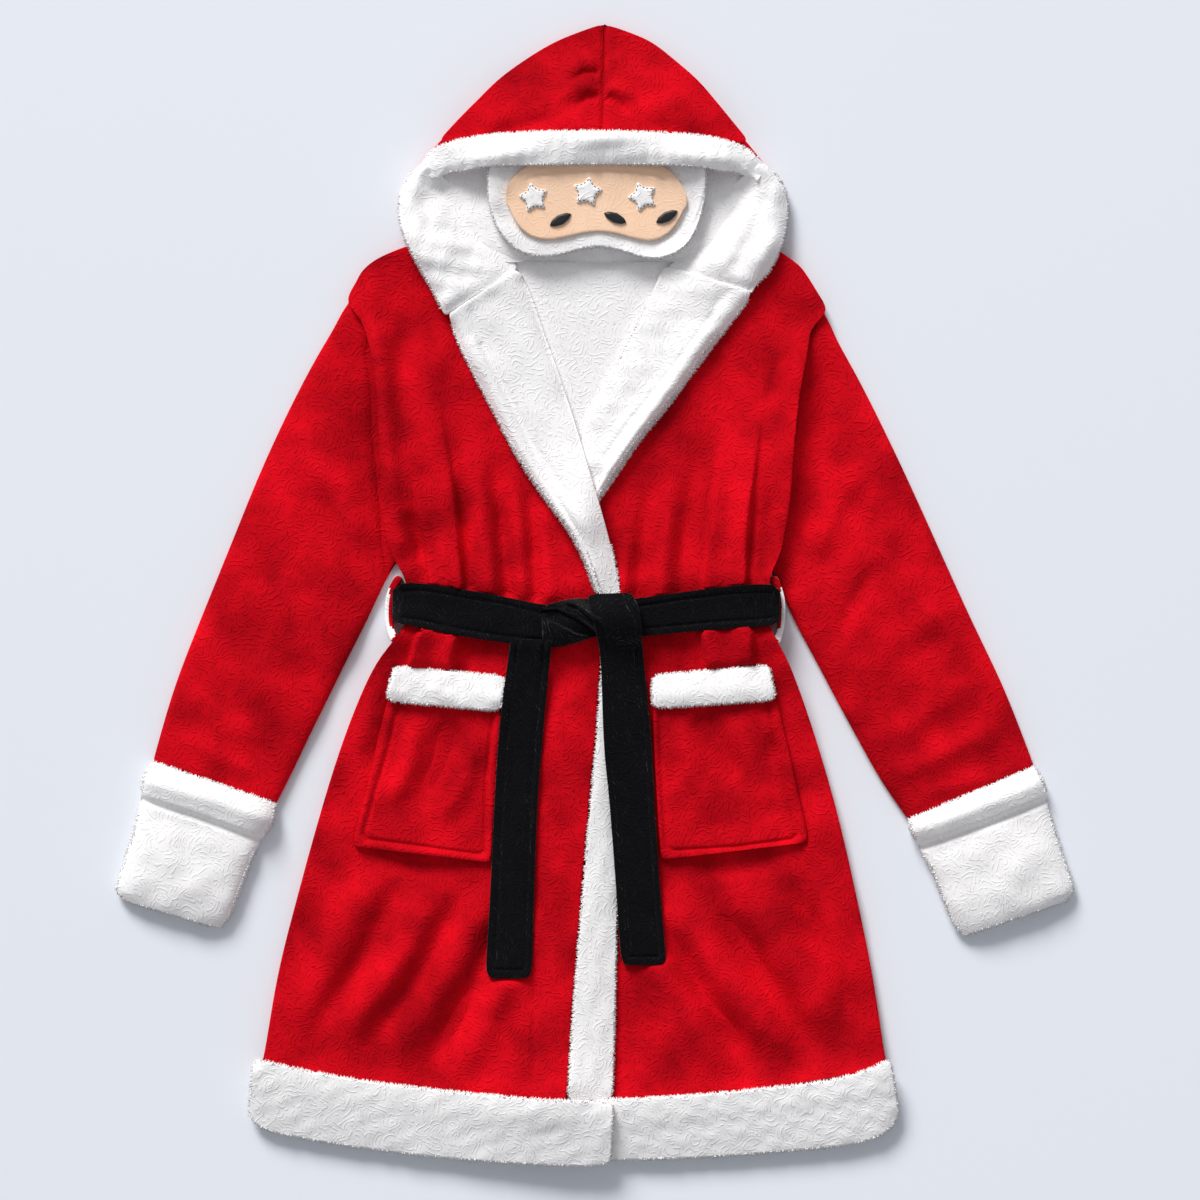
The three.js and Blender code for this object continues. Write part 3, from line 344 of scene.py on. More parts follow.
# Sleeves: red plush tubes set into dropped armholes, cut wide at the shoulder and narrower at the
# cuff. Lying flat, each has a fold along both edges, and soft creases slant across it where it was
# smoothed down from the shoulder.
SLEEVE_RIGHT_CREASES = [
    dict(line=[(-312, 160), (-268, 110), (-238, 40)], wide=15, high=3.5),
    dict(line=[(-345, 130), (-300, 60), (-262, -10)], wide=18, high=3.0),
    dict(line=[(-372, 20), (-330, -40), (-292, -84)], wide=16, high=3.0),
    dict(line=[(-420, -20), (-372, -78), (-318, -128)], wide=17, high=3.5),
    dict(line=[(-440, -92), (-392, -132), (-336, -160)], wide=13, high=3.2),
    dict(line=[(-450, -140), (-400, -168), (-342, -196)], wide=10, high=2.6),
    dict(line=[(-254, 280), (-250, 200), (-238, 120), (-226, 60), (-216, 24)], wide=17, high=-3,
         fade=(0.2, 0)),
    dict(line=[(-237, 276), (-231, 220), (-229, 174), (-223, 100), (-212, 31)], wide=7, high=-5,
         fade=(0.1, 0)),
    dict(line=[(-290, 120), (-262, 60), (-246, 10)], wide=9, high=-2.5),
    dict(line=[(-330, -20), (-300, -70), (-284, -110)], wide=8, high=-2.0),
]
SLEEVE_LEFT_CREASES = [
    dict(line=[(298, 150), (252, 96), (226, 30)], wide=15, high=3.5),
    dict(line=[(330, 96), (282, 40), (240, -30)], wide=17, high=3.0),
    dict(line=[(366, -4), (312, -60), (268, -104)], wide=16, high=3.2),
    dict(line=[(402, -84), (352, -120), (290, -160)], wide=15, high=3.8),
    dict(line=[(424, -140), (374, -162), (306, -196)], wide=11, high=3.2),
    dict(line=[(442, -186), (392, -196), (330, -216)], wide=9, high=2.6),
    dict(line=[(238, 270), (236, 200), (228, 120), (214, 50), (204, 14)], wide=17, high=-4.5,
         fade=(0.2, 0)),
    dict(line=[(300, 40), (270, -10), (250, -60)], wide=9, high=-2.5),
]


def pull(piece, line, shift, width):
    """Draws what lies within a width of a seam line over towards it, so that two pieces meet."""
    places = points_of(piece)
    near = crease_height(places[:, 0] / MM, places[:, 1] / MM, line, width, 1, fade=(0, 0))
    places += near[:, None] * np.array(shift) * MM
    places[:, 2] = np.maximum(places[:, 2], 0)
    move_points(piece, places)


def keep_under(piece, covers):
    """Presses a piece down wherever its creases would rise into the solids that lie on it."""
    clearance = 0.7
    places = points_of(piece)
    for name in covers:
        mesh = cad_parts[name].data
        corners = [vertex.co.copy() for vertex in mesh.vertices]
        tree = BVHTree.FromPolygons(corners, [tuple(face.vertices) for face in mesh.polygons])
        low = np.min([tuple(corner) for corner in corners], axis=0)
        high = np.max([tuple(corner) for corner in corners], axis=0)
        inside = np.all((places[:, :2] > low[:2]) & (places[:, :2] < high[:2]), axis=1)
        for number in np.nonzero(inside)[0]:
            under = tree.ray_cast(Vector((places[number, 0], places[number, 1], -1)), Vector((0, 0, 1)))[0]
            if under is not None:
                most = max(under.z - clearance * MM, 0)
                places[number, 2] = min(places[number, 2], most)
    move_points(piece, places)


SHOULDER_SEAMS = {
    "sleeve_right": ([(-276, 296), (-244, 306)], (-1, 3.5, 0), 14),
    "sleeve_left": ([(258, 286), (226, 296)], (1, 4.5, 0), 14),
}
SLEEVE_TIPS = {
    "sleeve_right": ([(-262, 308), (-254, 298)], (4.5, 2.5, 0), 7),
    "sleeve_left": ([(246, 298), (240, 290)], (-3.5, 2.5, 0), 7),
}
for name, creases, length, seed in [
    ("sleeve_right", SLEEVE_RIGHT_CREASES, 0.40, 11),
    ("sleeve_left", SLEEVE_LEFT_CREASES, 0.41, 12),
]:
    sleeve = softened(name, RED, 2)
    pull(sleeve, *SHOULDER_SEAMS[name])
    pull(sleeve, *SLEEVE_TIPS[name])
    crease(sleeve, creases, seed, uneven=1.1, depth=1.3)
    keep_under(sleeve, ["front_right", "front_left", name.replace("sleeve", "cuff")])
    declare(sleeve, name)

# Cuffs: deep white plush, 130 mm from edge to edge, turned back over the end of each sleeve with a
# thick rolled seam at the top. The pile stands out at every edge in small locks.


def new_mesh(name, points, faces, material):
    """An object from points in metres and faces, handed to the frame."""
    mesh = bpy.data.meshes.new(name)
    mesh.from_pydata(points, [], faces)
    mesh.materials.append(material)
    thing = bpy.data.objects.new(name, mesh)
    bpy.context.scene.collection.objects.link(thing)
    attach(thing, ROOT)
    return thing


def locks(piece, seed, bare):
    """The white pile that stands out round the edges of a piece: little four-sided locks, set at
    random on the faces that look sideways, but not along a bare seam, each leaning its own way."""
    spacing = 1.8
    length = 3.2
    steepest = 0.6
    undermost = -0.3
    bare_width = 9
    spread = 0.45
    lift = 0.15
    buried = 0.8
    above_floor = 0.1
    chance = np.random.default_rng(seed)
    mesh = piece.data
    mesh.calc_loop_triangles()
    count = len(mesh.loop_triangles)
    corners = np.empty(count * 3, dtype=np.int64)
    mesh.loop_triangles.foreach_get("vertices", corners)
    places = points_of(piece) / MM
    a, b, c = (places[corners.reshape(-1, 3)[:, k]] for k in range(3))
    cross = np.cross(b - a, c - a)
    size = np.linalg.norm(cross, axis=1)
    out = cross / np.maximum(size, 1e-9)[:, None]
    sideways = (out[:, 2] < steepest) & (out[:, 2] > undermost)
    middle = (a + b + c) / 3
    for line in bare:
        sideways &= crease_height(middle[:, 0], middle[:, 1], line, bare_width, 1, fade=(0, 0)) < 0.3
    shares = np.where(sideways, size / 2, 0)
    total = int(shares.sum() / spacing ** 2)
    chosen = chance.choice(count, total, p=shares / shares.sum())
    u, v = chance.random(total), chance.random(total)
    over = u + v > 1
    u, v = np.where(over, 1 - u, u), np.where(over, 1 - v, v)
    root = a[chosen] + u[:, None] * (b - a)[chosen] + v[:, None] * (c - a)[chosen]
    lean = out[chosen] + chance.normal(0, spread, (total, 3))
    lean[:, 2] += lift
    lean /= np.linalg.norm(lean, axis=1)[:, None]
    across = np.cross(lean, chance.normal(0, 1, (total, 3)))
    across /= np.linalg.norm(across, axis=1)[:, None]
    third = np.cross(lean, across)
    thick = chance.uniform(0.8, 1.4, total)[:, None]
    tall = length * chance.uniform(0.55, 1.1, total)[:, None]
    base = root - buried * lean
    points = np.stack([
        base + thick * across,
        base + thick * (-0.5 * across + 0.87 * third),
        base + thick * (-0.5 * across - 0.87 * third),
        root + tall * lean,
    ], axis=1)
    points[:, :, 2] = np.maximum(points[:, :, 2], above_floor)
    faces = [face for k in range(total) for face in
             ((4 * k, 4 * k + 1, 4 * k + 3), (4 * k + 1, 4 * k + 2, 4 * k + 3),
              (4 * k + 2, 4 * k, 4 * k + 3), (4 * k, 4 * k + 2, 4 * k + 1))]
    pile = new_mesh(piece.name.replace("_cloth", "_pile"), (points.reshape(-1, 3) * MM).tolist(), faces,
                    WHITE)
    only(pile)
    bpy.ops.object.shade_smooth()
    return pile


def declare_white(piece, node, seed, bare=()):
    """Gives a white cloth its pile and hands both to the frame."""
    pile = locks(piece, seed, bare)
    declare(piece, node)


CUFF_CREASES = {
    "cuff_right": [
        dict(line=[(-480, -213), (-414, -234), (-350, -258)], wide=4, high=-5, fade=(0, 0)),
        dict(line=[(-472, -194), (-404, -213), (-340, -235)], wide=10, high=3.5, fade=(0, 0)),
        dict(line=[(-470, -240), (-430, -300), (-410, -330)], wide=18, high=2.5),
    ],
    "cuff_left": [
        dict(line=[(478, -214), (412, -240), (339, -266)], wide=4, high=-5, fade=(0, 0)),
        dict(line=[(470, -194), (404, -220), (332, -246)], wide=10, high=3.5, fade=(0, 0)),
        dict(line=[(460, -250), (436, -300), (420, -330)], wide=18, high=2.5),
    ],
}
for name, seed in [("cuff_right", 21), ("cuff_left", 22)]:
    cuff = softened(name, WHITE, 2)
    crease(cuff, CUFF_CREASES[name], seed, uneven=0.5, shortest=20, longest=70)
    declare_white(cuff, name, seed, bare=[CUFF_CREASES[name][0]["line"]])

# Belt loops: narrow straps on the side seams, red plush on the side towards the belt and white on the
# outer one. The belt goes through them at the back, and they bow out beside the waist.
LOOP_MIDDLE = {-1: 215, 1: 194}
OUTER_SLOPE = 0.25
for name in ("belt_loop_right", "belt_loop_left"):
    loop = softened(name, RED)
    outer = -1 if name.endswith("right") else 1
    face_with(loop, WHITE, lambda at, out: out.x * outer > OUTER_SLOPE or abs(at.x) > LOOP_MIDDLE[outer])
    declare(loop, name)

# Hood lining: white plush sewn inside the hood, seen on both sides of the flap and down the neck. It
# sinks into a hollow where the neck seam holds it to the back.
LINING_CREASES = [
    dict(line=[(-122, 346), (0, 346), (118, 346)], wide=12, high=-4.4, fade=(0, 0)),
    dict(line=[(-110, 470), (-96, 380)], wide=14, high=2.0),
    dict(line=[(104, 470), (92, 380)], wide=14, high=2.0),
]
lining = softened("hood_lining", WHITE, 2)
crease(lining, LINING_CREASES, seed=31, uneven=0.5, shortest=20, longest=70)
declare(lining, "hood_lining")

# Left front: red plush from the shoulder to the hem, lapped under the right front. The belt gathers
# it into pleats at the waist, which stand up and open out above and below the strap.
FRONT_LEFT_CREASES = [
    dict(line=[(176, 210), (160, 90), (156, 8)], wide=17, high=8, steep=1, fade=(0.7, 0)),
    dict(line=[(140, 190), (124, 90), (117, 6)], wide=17, high=6.5, steep=-1, fade=(0.7, 0)),
    dict(line=[(172, 120), (163, 66), (161, 8)], wide=5, high=-4, fade=(0.5, 0)),
    dict(line=[(110, 170), (96, 80), (88, 4)], wide=11, high=-5, fade=(0.6, 0)),
    dict(line=[(86, 170), (76, 80), (69, 0)], wide=12, high=5.5, fade=(0.6, 0)),
    dict(line=[(60, 150), (53, 70), (46, 0)], wide=10, high=-4.5, fade=(0.6, 0)),
    dict(line=[(40, 110), (34, 60), (28, -2)], wide=9, high=4.5, fade=(0.6, 0)),
    dict(line=[(190, 130), (182, 80), (176, 20)], wide=12, high=-5.5, fade=(0.5, 0)),
    dict(line=[(206, 300), (220, 210), (214, 130), (196, 40)], wide=15, high=7, fade=(0.3, 0.3)),
    dict(line=[(178, 190), (190, 232), (205, 262)], wide=7, high=-3),
    dict(line=[(150, 240), (160, 180), (150, 110)], wide=14, high=3),
    dict(line=[(162, -40), (163, -62), (166, -84)], wide=22, high=9, steep=1, fade=(0, 0.4)),
    dict(line=[(114, -42), (118, -62), (122, -90)], wide=22, high=9, steep=-1, fade=(0, 0.4)),
    dict(line=[(92, -46), (96, -80), (100, -104)], wide=12, high=-3, fade=(0, 0.3)),
    dict(line=[(192, -60), (212, -100), (226, -160)], wide=12, high=4, fade=(0.2, 0.4)),
    dict(line=[(70, -300), (150, -420), (216, -500)], wide=20, high=10),
    dict(line=[(150, -300), (214, -400), (262, -480)], wide=18, high=8.5),
    dict(line=[(46, -350), (104, -450), (146, -512)], wide=16, high=8),
    dict(line=[(222, -180), (246, -300), (268, -420)], wide=18, high=5),
    dict(line=[(110, -300), (184, -412), (242, -494)], wide=14, high=-6.5),
    dict(line=[(60, -330), (128, -440), (180, -506)], wide=13, high=-6.5),
    dict(line=[(196, -280), (240, -380), (282, -470)], wide=13, high=-4.5),
    dict(line=[(96, -286), (150, -288), (206, -272)], wide=12, high=-3, fade=(0.3, 0.3)),
]
front_left = softened("front_left", RED, 1)
crease(front_left, FRONT_LEFT_CREASES, seed=41, uneven=1.0, depth=1.4)
keep_under(front_left, ["front_right", "front_band_right", "hem_left", "lapel_left", "lapel_right",
                        "pocket_left", "pocket_band_left", "belt_left", "belt_knot", "belt_tail_left",
                        "hood_side_left"])
declare(front_left, "front_left")

# Right front: red plush like the left one and lapped over it, with its edge down the middle of the
# skirt. A short seam rises from the hem beside that edge.
FRONT_RIGHT_CREASES = [
    dict(line=[(-168, 220), (-148, 100), (-139, 10)], wide=18, high=8.5, steep=1, fade=(0.7, 0)),
    dict(line=[(-190, 130), (-178, 60), (-172, 12)], wide=14, high=6, steep=-1, fade=(0.5, 0)),
    dict(line=[(-145, 140), (-138, 76), (-134, 10)], wide=5, high=-4, fade=(0.5, 0)),
    dict(line=[(-200, 90), (-188, 66), (-180, 30)], wide=8, high=-4.5),
    dict(line=[(-134, 190), (-117, 80), (-108, 6)], wide=13, high=6, fade=(0.6, 0)),
    dict(line=[(-112, 170), (-99, 80), (-92, 4)], wide=9, high=-5, fade=(0.6, 0)),
    dict(line=[(-92, 170), (-80, 80), (-74, 2)], wide=12, high=5.5, fade=(0.6, 0)),
    dict(line=[(-72, 130), (-66, 60), (-62, 0)], wide=8, high=-4.5, fade=(0.6, 0)),
    dict(line=[(-56, 110), (-52, 50), (-49, 0)], wide=10, high=4.5, fade=(0.6, 0)),
    dict(line=[(-236, 300), (-222, 240), (-217, 174), (-211, 100), (-201, 31)], wide=11, high=7,
         fade=(0.2, 0.1)),
    dict(line=[(-190, 330), (-204, 240), (-200, 150)], wide=12, high=-3),
    dict(line=[(-160, 280), (-176, 200), (-166, 120)], wide=15, high=3),
    dict(line=[(-183, -42), (-189, -62), (-196, -84)], wide=20, high=9, steep=-1, fade=(0, 0.4)),
    dict(line=[(-145, -44), (-150, -62), (-156, -90)], wide=20, high=9, steep=1, fade=(0, 0.4)),
    dict(line=[(-136, -46), (-139, -70), (-144, -96)], wide=8, high=-4, fade=(0, 0.3)),
    dict(line=[(-210, -60), (-228, -100), (-244, -170)], wide=12, high=4.5, fade=(0.2, 0.4)),
    dict(line=[(-150, -290), (-216, -400), (-288, -486)], wide=20, high=7.5),
    dict(line=[(-100, -300), (-168, -420), (-226, -504)], wide=18, high=7.5),
    dict(line=[(-60, -330), (-112, -444), (-146, -516)], wide=15, high=6),
    dict(line=[(-226, -280), (-272, -380), (-326, -470)], wide=18, high=5.5),
    dict(line=[(-126, -290), (-194, -412), (-258, -496)], wide=14, high=-6),
    dict(line=[(-80, -310), (-142, -438), (-186, -510)], wide=13, high=-6),
    dict(line=[(-192, -280), (-248, -390), (-310, -480)], wide=13, high=-4.5),
    dict(line=[(-65, -405), (-64, -525)], wide=1.6, high=-1.4, fade=(0.1, 0)),
    dict(line=[(-236, -272), (-180, -286), (-120, -292)], wide=12, high=-3, fade=(0.3, 0.3)),
]
front_right = softened("front_right", RED, 1)
crease(front_right, FRONT_RIGHT_CREASES, seed=42, uneven=1.0, depth=1.4)
keep_under(front_right, ["front_band_right", "hem_right", "lapel_right", "pocket_right",
                         "pocket_band_right", "belt_right", "belt_left", "belt_knot",
                         "belt_tail_right", "belt_tail_left", "hood_side_right"])
declare(front_right, "front_right")

# Front band and hem bands: deep white plush sewn round the skirt's bottom edge and down the right
# front's edge. Their seams are hidden in the pile.
BAND_FOOT = [(-26, -527), (21, -527)]
for name, flat, rests, seed in [
    ("hem_back", (0.68, 0.070), "back", 51),
    ("hem_left", (0.37, 0.072), "front_left", 52),
    ("front_band_right", (0.036, 0.53), "front_left", 53),
    ("hem_right", (0.385, 0.075), "front_right", 54),
]:
    band = softened(name, WHITE, 2)
    if name == "front_band_right":
        pull(band, BAND_FOOT, (0, -4, -2.5), 8)
    crease(band, [], seed, uneven=0.45, shortest=14, longest=60)
    declare_white(band, name, seed)

# Lapels: a shawl of white plush along each front's neck edge. The outer edge is rolled, with a
# stitched line 20 mm inside it, and the right lapel lies over the left one.
LAPEL_RIGHT_CREASES = [
    dict(line=[(-119, 261), (-91, 208), (-67, 160), (-35, 114), (-1, 68)], wide=3.5, high=-2,
         fade=(0, 0.2)),
    dict(line=[(-128, 262), (-101, 205), (-77, 154), (-45, 107), (-10, 62)], wide=7, high=1.5,
         fade=(0, 0.2)),
    dict(line=[(-82, 341), (-68, 322), (-38, 240), (0, 125)], wide=9, high=-5, fade=(0.1, 0.3)),
]
LAPEL_LEFT_CREASES = [
    dict(line=[(122, 291), (76, 230), (33, 177), (-5, 122)], wide=3, high=-1.4, fade=(0, 0.2)),
    dict(line=[(126, 288), (80, 227), (37, 174), (-1, 119)], wide=13, high=4, fade=(0.1, 0.1)),
    dict(line=[(145, 279), (99, 214), (54, 161), (14, 108)], wide=9, high=-6, fade=(0.1, 0)),
]
LAPEL_POINT = [(-1, 11), (26, 3)]
LAPEL_INNER_EDGES = {
    "lapel_right": [(-82, 341), (-68, 322), (-38, 240), (0, 125), (12, 60)],
    "lapel_left": [(63, 338), (27, 278), (-14, 172)],
}
SEAM_RIGHT = [(-155, 291, 26), (-132, 307, 25.5), (-109, 322, 22.5), (-78, 343, 14)]
SEAM_LEFT = [(167, 315, 26), (138, 324, 25.5), (110, 332, 22.5), (72, 343, 14)]


def settle(piece, line, width, thickness):
    """Eases a piece up or down near a line of points, each with the height in mm that its cloth has
    there, so that two pieces meet at one height. Its underside stays a thickness lower."""
    lowest = 0.5
    places = points_of(piece)
    downward = (1 - points_of(piece, "normal")[:, 2]) / 2
    away, _, stretch, along, lengths = beside(places[:, 0] / MM, places[:, 1] / MM, line)
    heights = np.array([point[2] for point in line])
    level = heights[stretch] + (heights[stretch + 1] - heights[stretch]) * along / lengths[stretch]
    near = np.exp(-(away / width) ** 2)
    places[:, 2] += near * (np.maximum(level - thickness * downward, lowest) * MM - places[:, 2])
    move_points(piece, places)


for name, creases, flat, rests, seed in [
    ("lapel_left", LAPEL_LEFT_CREASES, (0.085, 0.27), "front_left", 61),
    ("lapel_right", LAPEL_RIGHT_CREASES, (0.090, 0.33), "front_right", 62),
]:
    lapel = softened(name, WHITE, 2)
    seam, shift = (SEAM_LEFT, (1.2, 4, 0)) if name == "lapel_left" else (SEAM_RIGHT, (-1.8, 3.6, 0))
    pull(lapel, seam, shift, 9)
    if name == "lapel_right":
        pull(lapel, LAPEL_POINT, (2, -9, -2), 14)
    crease(lapel, creases, seed, uneven=0.6, shortest=18, longest=60)
    settle(lapel, seam, 9, 10)
    declare_white(lapel, name, seed, bare=[seam, LAPEL_INNER_EDGES[name]])

# Patch pockets: red plush pouches sewn to the fronts on three sides, their edges turned in and
# stitched 8 mm inside, so that a soft roll stands all round. A white band closes each mouth.
POCKET_RIGHT_SEAM = [(-205, -112), (-216, -160), (-230, -206), (-242, -250), (-238, -256),
                     (-180, -264), (-122, -272), (-116, -268), (-113, -190), (-106, -122)]
POCKET_RIGHT_ROLL = [(-212, -112), (-223, -160), (-237, -208), (-249, -254), (-244, -262),
                     (-180, -270), (-114, -278), (-110, -270), (-108, -190), (-100, -122)]
POCKET_LEFT_SEAM = [(68, -122), (70, -190), (75, -264), (82, -268), (148, -264), (206, -256),
                    (212, -250), (194, -180), (180, -112)]
POCKET_LEFT_ROLL = [(62, -122), (64, -190), (69, -268), (78, -275), (150, -271), (211, -262),
                    (219, -254), (201, -180), (187, -112)]
POCKET_RIGHT_CREASES = [
    dict(line=POCKET_RIGHT_SEAM, wide=2.0, high=-2.2, fade=(0, 0)),
    dict(line=POCKET_RIGHT_ROLL, wide=4.0, high=2.0, fade=(0, 0)),
    dict(line=[(-146, -118), (-164, -176), (-198, -240)], wide=14, high=-6.5, fade=(0.2, 0.4)),
    dict(line=[(-120, -134), (-134, -190), (-166, -246)], wide=13, high=7.5),
    dict(line=[(-182, -118), (-194, -176), (-220, -232)], wide=12, high=6.5),
]
POCKET_LEFT_CREASES = [
    dict(line=POCKET_LEFT_SEAM, wide=2.0, high=-2.2, fade=(0, 0)),
    dict(line=POCKET_LEFT_ROLL, wide=4.0, high=2.0, fade=(0, 0)),
    dict(line=[(104, -118), (130, -166), (160, -216)], wide=15, high=-6.5, fade=(0.2, 0.4)),
    dict(line=[(180, -140), (186, -180), (170, -220)], wide=12, high=-4),
    dict(line=[(84, -130), (104, -190), (128, -244)], wide=14, high=7),
    dict(line=[(142, -124), (164, -176), (190, -232)], wide=12, high=6.5),
]
for side, creases, seed in [("right", POCKET_RIGHT_CREASES, 71), ("left", POCKET_LEFT_CREASES, 72)]:
    pocket = softened("pocket_" + side, RED, 2)
    crease(pocket, creases, seed, uneven=0.5, shortest=25, longest=80)
    keep_under(pocket, ["belt_tail_" + side, "pocket_band_" + side])
    declare(pocket, "pocket_" + side)
    band = softened("pocket_band_" + side, WHITE, 1)
    crease(band, [], seed + 5, uneven=0.5, shortest=14, longest=50)
    declare_white(band, "pocket_band_" + side, seed)

# Hood sides: the white plush edge of the hood, rolled outwards and running from the brim down into
# each lapel, with the lining sloping in behind it.
CORNER_RIGHT = [(-188, 454, 22), (-178, 445, 26), (-166, 434, 25), (-155, 425, 14)]
CORNER_LEFT = [(183, 454, 22), (174, 446, 26), (164, 436, 25), (152, 425, 14)]
HOLLOW_RIGHT = [(-152, 424, 9.5), (-140, 406, 10.4), (-128, 390, 12), (-114, 374, 12.8),
                (-94, 358, 11.5), (-84, 350, 11)]
HOLLOW_LEFT = [(149, 423, 9.5), (138, 405, 10.4), (125, 388, 12), (112, 371, 12.8),
               (94, 357, 11.5), (82, 349, 11)]
RING_INSIDE_RIGHT = [(-164, 428), (-161, 400), (-154, 372), (-142, 344)]
RING_INSIDE_LEFT = [(162, 428), (158, 400), (149, 372), (135, 344)]
LEFT_FOOT = [(178, 322), (169, 313)]
HOOD_SIDE_CREASES = {
    "hood_side_right": [
        dict(line=[(-163, 434), (-178, 407), (-176, 371), (-162, 342), (-147, 317), (-130, 297)],
             wide=8, high=-1.2, fade=(0, 0.1)),
        dict(line=[(-178, 440), (-192, 407), (-190, 365), (-174, 328), (-150, 290)],
             wide=9, high=1.5, fade=(0, 0)),
        dict(line=RING_INSIDE_RIGHT, wide=12, high=3, fade=(0.1, 0.2)),
    ],
    "hood_side_left": [
        dict(line=[(160, 434), (172, 412), (168, 380), (152, 350), (134, 322), (117, 298)],
             wide=8, high=-1.2, fade=(0, 0.1)),
        dict(line=[(174, 440), (187, 412), (184, 375), (164, 338), (142, 305)],
             wide=9, high=1.5, fade=(0, 0)),
        dict(line=RING_INSIDE_LEFT, wide=12, high=3, fade=(0.1, 0.2)),
    ],
}
for name, seam, corner, hollow, outwards, seed in [
    ("hood_side_right", SEAM_RIGHT, CORNER_RIGHT, HOLLOW_RIGHT, -1, 81),
    ("hood_side_left", SEAM_LEFT, CORNER_LEFT, HOLLOW_LEFT, 1, 82),
]:
    edge = softened(name, WHITE, 2)
    pull(edge, seam, (1.2 * outwards, -4, 0), 9)
    pull(edge, corner, (-6 * outwards, 6, 0), 9)
    if name == "hood_side_left":
        pull(edge, LEFT_FOOT, (-5, 1.5, 0), 8)
    crease(edge, HOOD_SIDE_CREASES[name], seed, uneven=0.7, shortest=16, longest=50)
    settle(edge, corner, 12, 16)
    settle(edge, seam, 13, 10)
    settle(edge, hollow, 19, 3)
    ridge = HOOD_SIDE_CREASES[name][0]["line"]
    declare_white(edge, name, seed, bare=[hollow, seam, corner, ridge])

# Hood front: two halves of red plush joined by a seam from the peak to the brim. The seam pulls
# small puckers into the cloth on both sides.
CENTRE_SEAM = [(10.5, 600), (9.5, 540), (8, 470)]
HOOD_PUCKERS = [
    dict(line=[(4, 533), (-16, 532), (-34, 520), (-50, 500)], wide=9, high=4.5, fade=(0.2, 0.5)),
    dict(line=[(6, 560), (-14, 556), (-40, 536)], wide=9, high=3.5, fade=(0.2, 0.5)),
    dict(line=[(6, 521), (-8, 519), (-24, 506)], wide=5, high=-4.5, fade=(0.1, 0.5)),
    dict(line=[(5, 546), (-12, 545), (-30, 532)], wide=4, high=-3.5, fade=(0.1, 0.5)),
    dict(line=[(12, 530), (24, 528), (46, 514)], wide=7, high=4, fade=(0.2, 0.5)),
    dict(line=[(12, 521), (24, 514), (40, 498)], wide=5, high=-3.5, fade=(0.1, 0.5)),
    dict(line=[(12, 566), (30, 552), (60, 526)], wide=9, high=3, fade=(0.2, 0.5)),
    dict(line=[(-70, 540), (-92, 506), (-124, 480)], wide=13, high=3),
    dict(line=[(-40, 500), (-80, 488), (-120, 474)], wide=8, high=-3),
    dict(line=[(70, 530), (100, 500), (128, 476)], wide=13, high=3),
    dict(line=[(40, 490), (80, 486), (124, 474)], wide=8, high=-2.5),
    dict(line=CENTRE_SEAM, wide=3.5, high=-2.2, fade=(0, 0)),
]
for side, towards, seed in [("right", 1, 91), ("left", -1, 92)]:
    half = softened("hood_front_" + side, RED, 3)
    pull(half, CENTRE_SEAM, (2.6 * towards, 0, 0), 6)
    crease(half, HOOD_PUCKERS, seed, uneven=0.6, shortest=25, longest=80)
    declare(half, "hood_front_" + side)

# Flap: a mask-shaped piece of white plush hung from the brim, with a smooth peach velour panel sewn
# inside its border. The panel's upper corners are cut round, and a seam shows along its top.
# Its second colour is the painted shade of its soft patches of painted sheen and shade.
PEACH = plush("peach_velour", "#ffd8b9", "#f6c4a0", 0.2, 0.05)
flap = softened("hood_flap", WHITE, 1)
crease(flap, [], seed=95, uneven=0.4, shortest=14, longest=45)
declare_white(flap, "hood_flap", seed=95)
PANEL_SEAM = dict(line=[(-70, 436), (-40, 441), (0, 443), (44, 441), (74, 436)],
                  wide=1.6, high=-1.6, fade=(0, 0))
PANEL_TOP = 451
PANEL_MIDDLE = 402
CORNER_START = 54
CORNER_WIDTH = 44
panel = softened("flap_panel", PEACH, 1)
crease(panel, [PANEL_SEAM], seed=96, uneven=0.4, shortest=20)
for vertex in panel.data.vertices:
    beyond = min(1, max(0, abs(vertex.co.x / MM) - CORNER_START) / CORNER_WIDTH)
    top = PANEL_MIDDLE + (PANEL_TOP - PANEL_MIDDLE) * math.sqrt(1 - beyond ** 2)
    over = vertex.co.y / MM - PANEL_MIDDLE
    if over > 0:
        vertex.co.y = (PANEL_MIDDLE + over * (top - PANEL_MIDDLE) / (PANEL_TOP - PANEL_MIDDLE)) * MM
declare(panel, "flap_panel")

# Motifs on the panel: stars of padded white plush, each edged with a dark running stitch, and small
# leaves of black polyester satin between them, all sewn down through the velour. The satin is smooth
# enough to catch the light, and its weave shows as fine slanting bands.
WEAVE_SIZE = 2.4
SATIN, satin_shader = principled("black_polyester_satin", {"Roughness": 0.38, "Specular IOR Level": 0.5})
weave_place = add_node(SATIN.node_tree, "TexCoord")
weave = add_node(SATIN.node_tree, "TexWave", {"bands_direction": "DIAGONAL"},
                 {"Vector": weave_place.outputs["Object"], "Scale": 1 / (WEAVE_SIZE * MM),
                  "Distortion": 1.5})
weave_tone = add_node(SATIN.node_tree, "Mix", {"data_type": "RGBA"},
                      {"Factor": weave.outputs["Fac"], 6: linear("#08090a"), 7: linear("#1a1c1f")})
SATIN.node_tree.links.new(weave_tone.outputs[2], satin_shader.inputs["Base Color"])


